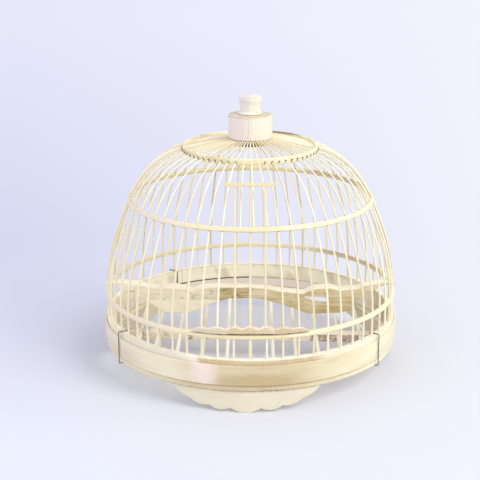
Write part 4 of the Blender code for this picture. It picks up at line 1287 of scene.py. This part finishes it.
def make_hub():
    inner = HUB_RADIUS - HUB_SKIRT
    roof = HUB_BOTTOM + HUB_SKIRT_DROP - HUB_SKIRT * TIP_SLOPE + HUB_ROOF_GAP
    corners = [(inner, roof), (inner, HUB_BOTTOM), (HUB_RADIUS, HUB_BOTTOM)]
    corners += [(HUB_RADIUS, HUB_BOTTOM + HUB_HEIGHT), (KNOB_FOOT_RADIUS + HUB_TOP_LAP, HUB_TOP)]
    corners += [(KNOB_FOOT_RADIUS - HUB_TOP_INSET, HUB_TOP)]
    turned("hub", corners, HUB_EDGE, hub_look, "crown_hub", hub_lift)


def knob_look(turn, _across, rise, point):
    # Painted shade just under the lip on the left, a darker line round the top edge on the left, and the left
    # side, away from the key light, painted pinker as a shade tint.
    veins = mottle((math.radians(turn % 360) * 5, point.z * 40, 4))
    crack = ramp(abs(veins), 0.02, 0.0) * ramp(turn, 50, -10)
    split = bump_at(turn, -12, 3) * ramp(rise, 0.851, 0.646)
    under = span(rise, 0.687, 0.779, 0.80, 0.831) * ramp(turn, 60, -10)
    rim = bump_at(rise, 0.979, 0.041) * ramp(turn, 80, 0)
    return (0.76, 0.45 * crack + 0.45 * split + 0.40 * under + 0.6 * rim, 0.7 * ramp(turn, 12, -20))


def make_knob():
    foot = HUB_TOP + SEAT_GAP
    top = foot + KNOB_HEIGHT
    lip = top - KNOB_LIP_HEIGHT
    corners = [(KNOB_CENTRE_RADIUS, foot), (KNOB_FOOT_RADIUS, foot), (KNOB_FOOT_RADIUS, foot + KNOB_EDGE)]
    corners += [(KNOB_NECK_RADIUS, foot + KNOB_FOOT_RISE), (KNOB_NECK_RADIUS, lip - KNOB_FLARE)]
    corners += [(KNOB_LIP_RADIUS, lip), (KNOB_LIP_RADIUS, top), (KNOB_CENTRE_RADIUS, top)]
    turned("knob", corners, KNOB_EDGE, knob_look, "crown_knob")


# Door


def door_point(x, y, z):
    """A point of the door, from its seat's middle: to the right, square to its lean and along it."""
    sine, cosine = math.sin(DOOR_LEAN), math.cos(DOOR_LEAN)
    return Vector((x, y * cosine + z * sine - WALL_RADIUS, z * cosine - y * sine + LOWER_HOOP_TOP))


def door_bar_look(_row, number, _point):
    # Painted shade down the right side of each door bar.
    painted_shade = max(0.0, math.cos(math.tau * number / BAR_SIDES)) ** 2
    return (0.58 - 0.55 * painted_shade, 0.0, 0.4 * painted_shade)


def make_door_bars():
    chance = random.Random(5)
    levels = evenly(DOOR_REST + DOOR_BAR_RISE, DOOR_HEAD, DOOR_BAR_STEPS)
    for index, x in enumerate((-DOOR_BAR_PITCH, 0.0, DOOR_BAR_PITCH)):
        seed = chance.uniform(0, 9)
        piece = Piece()
        add_rod(
            piece, [door_point(x, 0, z) for z in levels], [sideways_at(0)] * len(levels),
            [DOOR_BAR_RADIUS] * len(levels), BAR_SIDES, DOOR_BAR_RADIUS,
            [level + seed for level in levels], seed, door_bar_look,
        )
        piece.make(f"door_rod_{index + 1}", "bar", "door", [f"door_bar_{index + 1}"])


def head_look(row, _number, point):
    end = ramp(row, RAIL_STEPS - 2, RAIL_STEPS) + ramp(row, 2, 0)
    return (0.30 + 0.08 * mottle(point, UNEVEN_SCALES), 0.25 * end, 0.15)


def make_door_head():
    half = DOOR_TOP_RAIL_SIZE / 2
    foot = DOOR_HEAD - DOOR_TOP_RAIL_SIZE
    reach = DOOR_BAR_PITCH + DOOR_TOP_RAIL_OVERHANG
    outline = rounded([(-half, DOOR_HEAD), (half, DOOR_HEAD), (half, foot), (-half, foot)], RAIL_EDGE)
    rows = [[door_point(x, *spot) for spot in outline] for x in evenly(-reach, reach, RAIL_STEPS)]
    Piece().loft(rows, in_place, head_look).make("door_head", "hoop", "door", ["door_top_rail"])


def make_door_sill():
    cusps = [(place, 1 - DOOR_LOBE_SHARE, DOOR_LOBE_SHARE) for place in evenly(0, 1, DOOR_LOBES)]
    half = DOOR_SILL_THICKNESS / 2
    rows = []
    heights = []
    for place, level in lobed_edge(cusps):
        heights.append(level * DOOR_SILL_HEIGHT)
        top = DOOR_REST + heights[-1]
        outline = soft_box(-half, half, DOOR_REST, top, RAIL_EDGE, RAIL_EDGE, BOARD_PARTS)
        x = mix(-DOOR_HALF_WIDTH, DOOR_HALF_WIDTH, place)
        rows.append([door_point(x, *spot) for spot in outline])

    def sill_look(row, _number, point):
        share = (point.z - LOWER_HOOP_TOP - DOOR_REST) / heights[row]
        spots = mottle(point, (420, 300, 500))
        # A painted highlight along the top edge, and painted shade in the gap along the bottom.
        top = ramp(share, 0.68, 0.86)
        soil_and_shade = 0.95 * ramp(share, 0.17, 0.05) + 0.45 * max(0.0, spots) * (1 - top)
        return (0.10 + 0.55 * spots + 0.62 * top, soil_and_shade, 0.1)

    piece = Piece().loft(rows, in_place, sill_look)
    piece.make("door_sill", "aged", "door", ["door_bottom_rail"], CRISP_ANGLE)


# Wire ties


def make_ties():
    reach = WIRE_RADIUS + WIRE_STANDOFF
    low = Vector((RIM_INNER_RADIUS - reach, RIM_BOTTOM - reach))
    high = Vector((BAND_OUTER_RADIUS + reach, RING_TOP + reach))
    corners = [(high.x, high.y), (low.x, high.y), (low.x, low.y), (high.x, low.y)]
    loop = filled(rounded(corners, WIRE_BEND, steps=5), WIRE_SPACING)
    for index, (place, lean) in enumerate(zip(TIE_BARS, TIE_LEANS)):
        angle = place * PITCH
        leans = [lean * ramp(spot.x, TIE_LEAN_START, RIM_INNER_RADIUS) for spot in loop]
        points = [radial(spot.x, angle - lean, spot.y) for spot, lean in zip(loop, leans)]
        sideways = [sideways_at(angle)] * len(points)
        rows = tube_rows(points, sideways, [WIRE_RADIUS] * len(points), WIRE_SIDES, closed=True)
        piece = Piece().loft(rows, in_place, plain, ring=True)
        piece.make(f"tie_{index + 1}", "wire", "cage", [f"wire_tie_{index + 1}"])


# Stage


def seen_rays(tree):
    """1 for a ray from the camera, or one that a shiny or clear surface sends on."""
    path = shader_node(tree, "LightPath", {}).outputs
    shown = math_node(tree, "MAXIMUM", path["Is Camera Ray"], path["Is Glossy Ray"])
    return math_node(tree, "MAXIMUM", shown, path["Is Transmission Ray"])


def stage_look():
    """Lilac, deeper half way off and paler in front and to the right: painted light on the floor. Bounced
    light meets one tone.
    """
    made, tree = new_material("stage")
    tree.nodes.remove(tree.nodes["Principled BSDF"])
    place = shader_node(tree, "TexCoord", {}).outputs["Object"]
    parts = shader_node(tree, "SeparateXYZ", {0: place}).outputs
    depth = math_node(tree, "MAXIMUM", math_node(tree, "ADD", parts[1], CAMERA_DISTANCE), STAGE_NEAREST)
    nearness = math_node(tree, "DIVIDE", STAGE_NEARNESS, depth)
    across = math_node(tree, "DIVIDE", parts[0], depth)
    seen = linear(LILAC_FAR)
    for value, ends, colour in (
        (nearness, MIDDLE_SHARES, LILAC_MIDDLE),
        (nearness, NEAR_SHARES, LILAC_NEAR),
        (across, RIGHT_SHARES, LILAC_RIGHT),
    ):
        seen = mix_colour(tree, range_node(tree, value, *ends), seen, linear(colour))
    seen = mix_colour(tree, STAGE_GAIN, (0.0, 0.0, 0.0, 1.0), seen)
    colour = mix_colour(tree, seen_rays(tree), STAGE_BOUNCE, seen)
    shader = shader_node(tree, "BsdfDiffuse", {"Color": colour}).outputs[0]
    plug(tree, tree.nodes["Material Output"], {"Surface": shader})
    return made


def aimed(name, data, turn, rise):
    """A lamp or camera that looks at the cage from a turn and a rise, and the way out to it."""
    made = linked(name, data)
    way = radial(math.cos(rise), turn, math.sin(rise))
    made.rotation_euler = way.to_track_quat("Z", "Y").to_euler()
    return made, way


def make_stage():
    bpy.ops.mesh.primitive_plane_add(size=2 * STAGE_HALF)
    floor = bpy.context.object
    floor.name = "floor"
    floor.data.materials.append(stage_look())

    world = bpy.data.worlds.new("studio")
    bpy.context.scene.world = world
    world.use_nodes = True
    tree = world.node_tree
    light = [share * WORLD_LIGHT for share in linear(WORLD_COLOUR)]
    colour = mix_colour(tree, seen_rays(tree), light, linear(HORIZON))
    plug(tree, tree.nodes["Background"], {"Color": colour})

    for name, turn, rise, strength, softness, colour in SUN_LIGHTS:
        data = bpy.data.lights.new(name, "SUN")
        data.energy = strength
        data.angle = math.radians(softness)
        data.color = colour
        aimed(name, data, math.radians(turn), math.radians(rise))


def make_camera():
    data = bpy.data.cameras.new("camera")
    data.sensor_width = CAMERA_SENSOR
    data.lens = CAMERA_LENS
    data.shift_x = CAMERA_SHIFT_SHARE
    camera, way = aimed("camera", data, 0, CAMERA_ELEVATION)
    camera.location = CAMERA_AIM + way * CAMERA_DISTANCE
    bpy.context.scene.camera = camera


make_bars()
make_collars()
make_hoops()
make_base()
make_feet()
make_boards()
make_floor()
make_crossbar()
make_perch()
make_hub()
make_knob()
make_door_bars()
make_door_head()
make_door_sill()
make_ties()
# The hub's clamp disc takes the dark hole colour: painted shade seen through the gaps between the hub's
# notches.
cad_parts["hub_clamp_disc"].data.materials.clear()
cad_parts["hub_clamp_disc"].data.materials.append(LOOKS["hole"])
make_stage()
make_camera()
bpy.context.scene.view_settings.view_transform = "Standard"
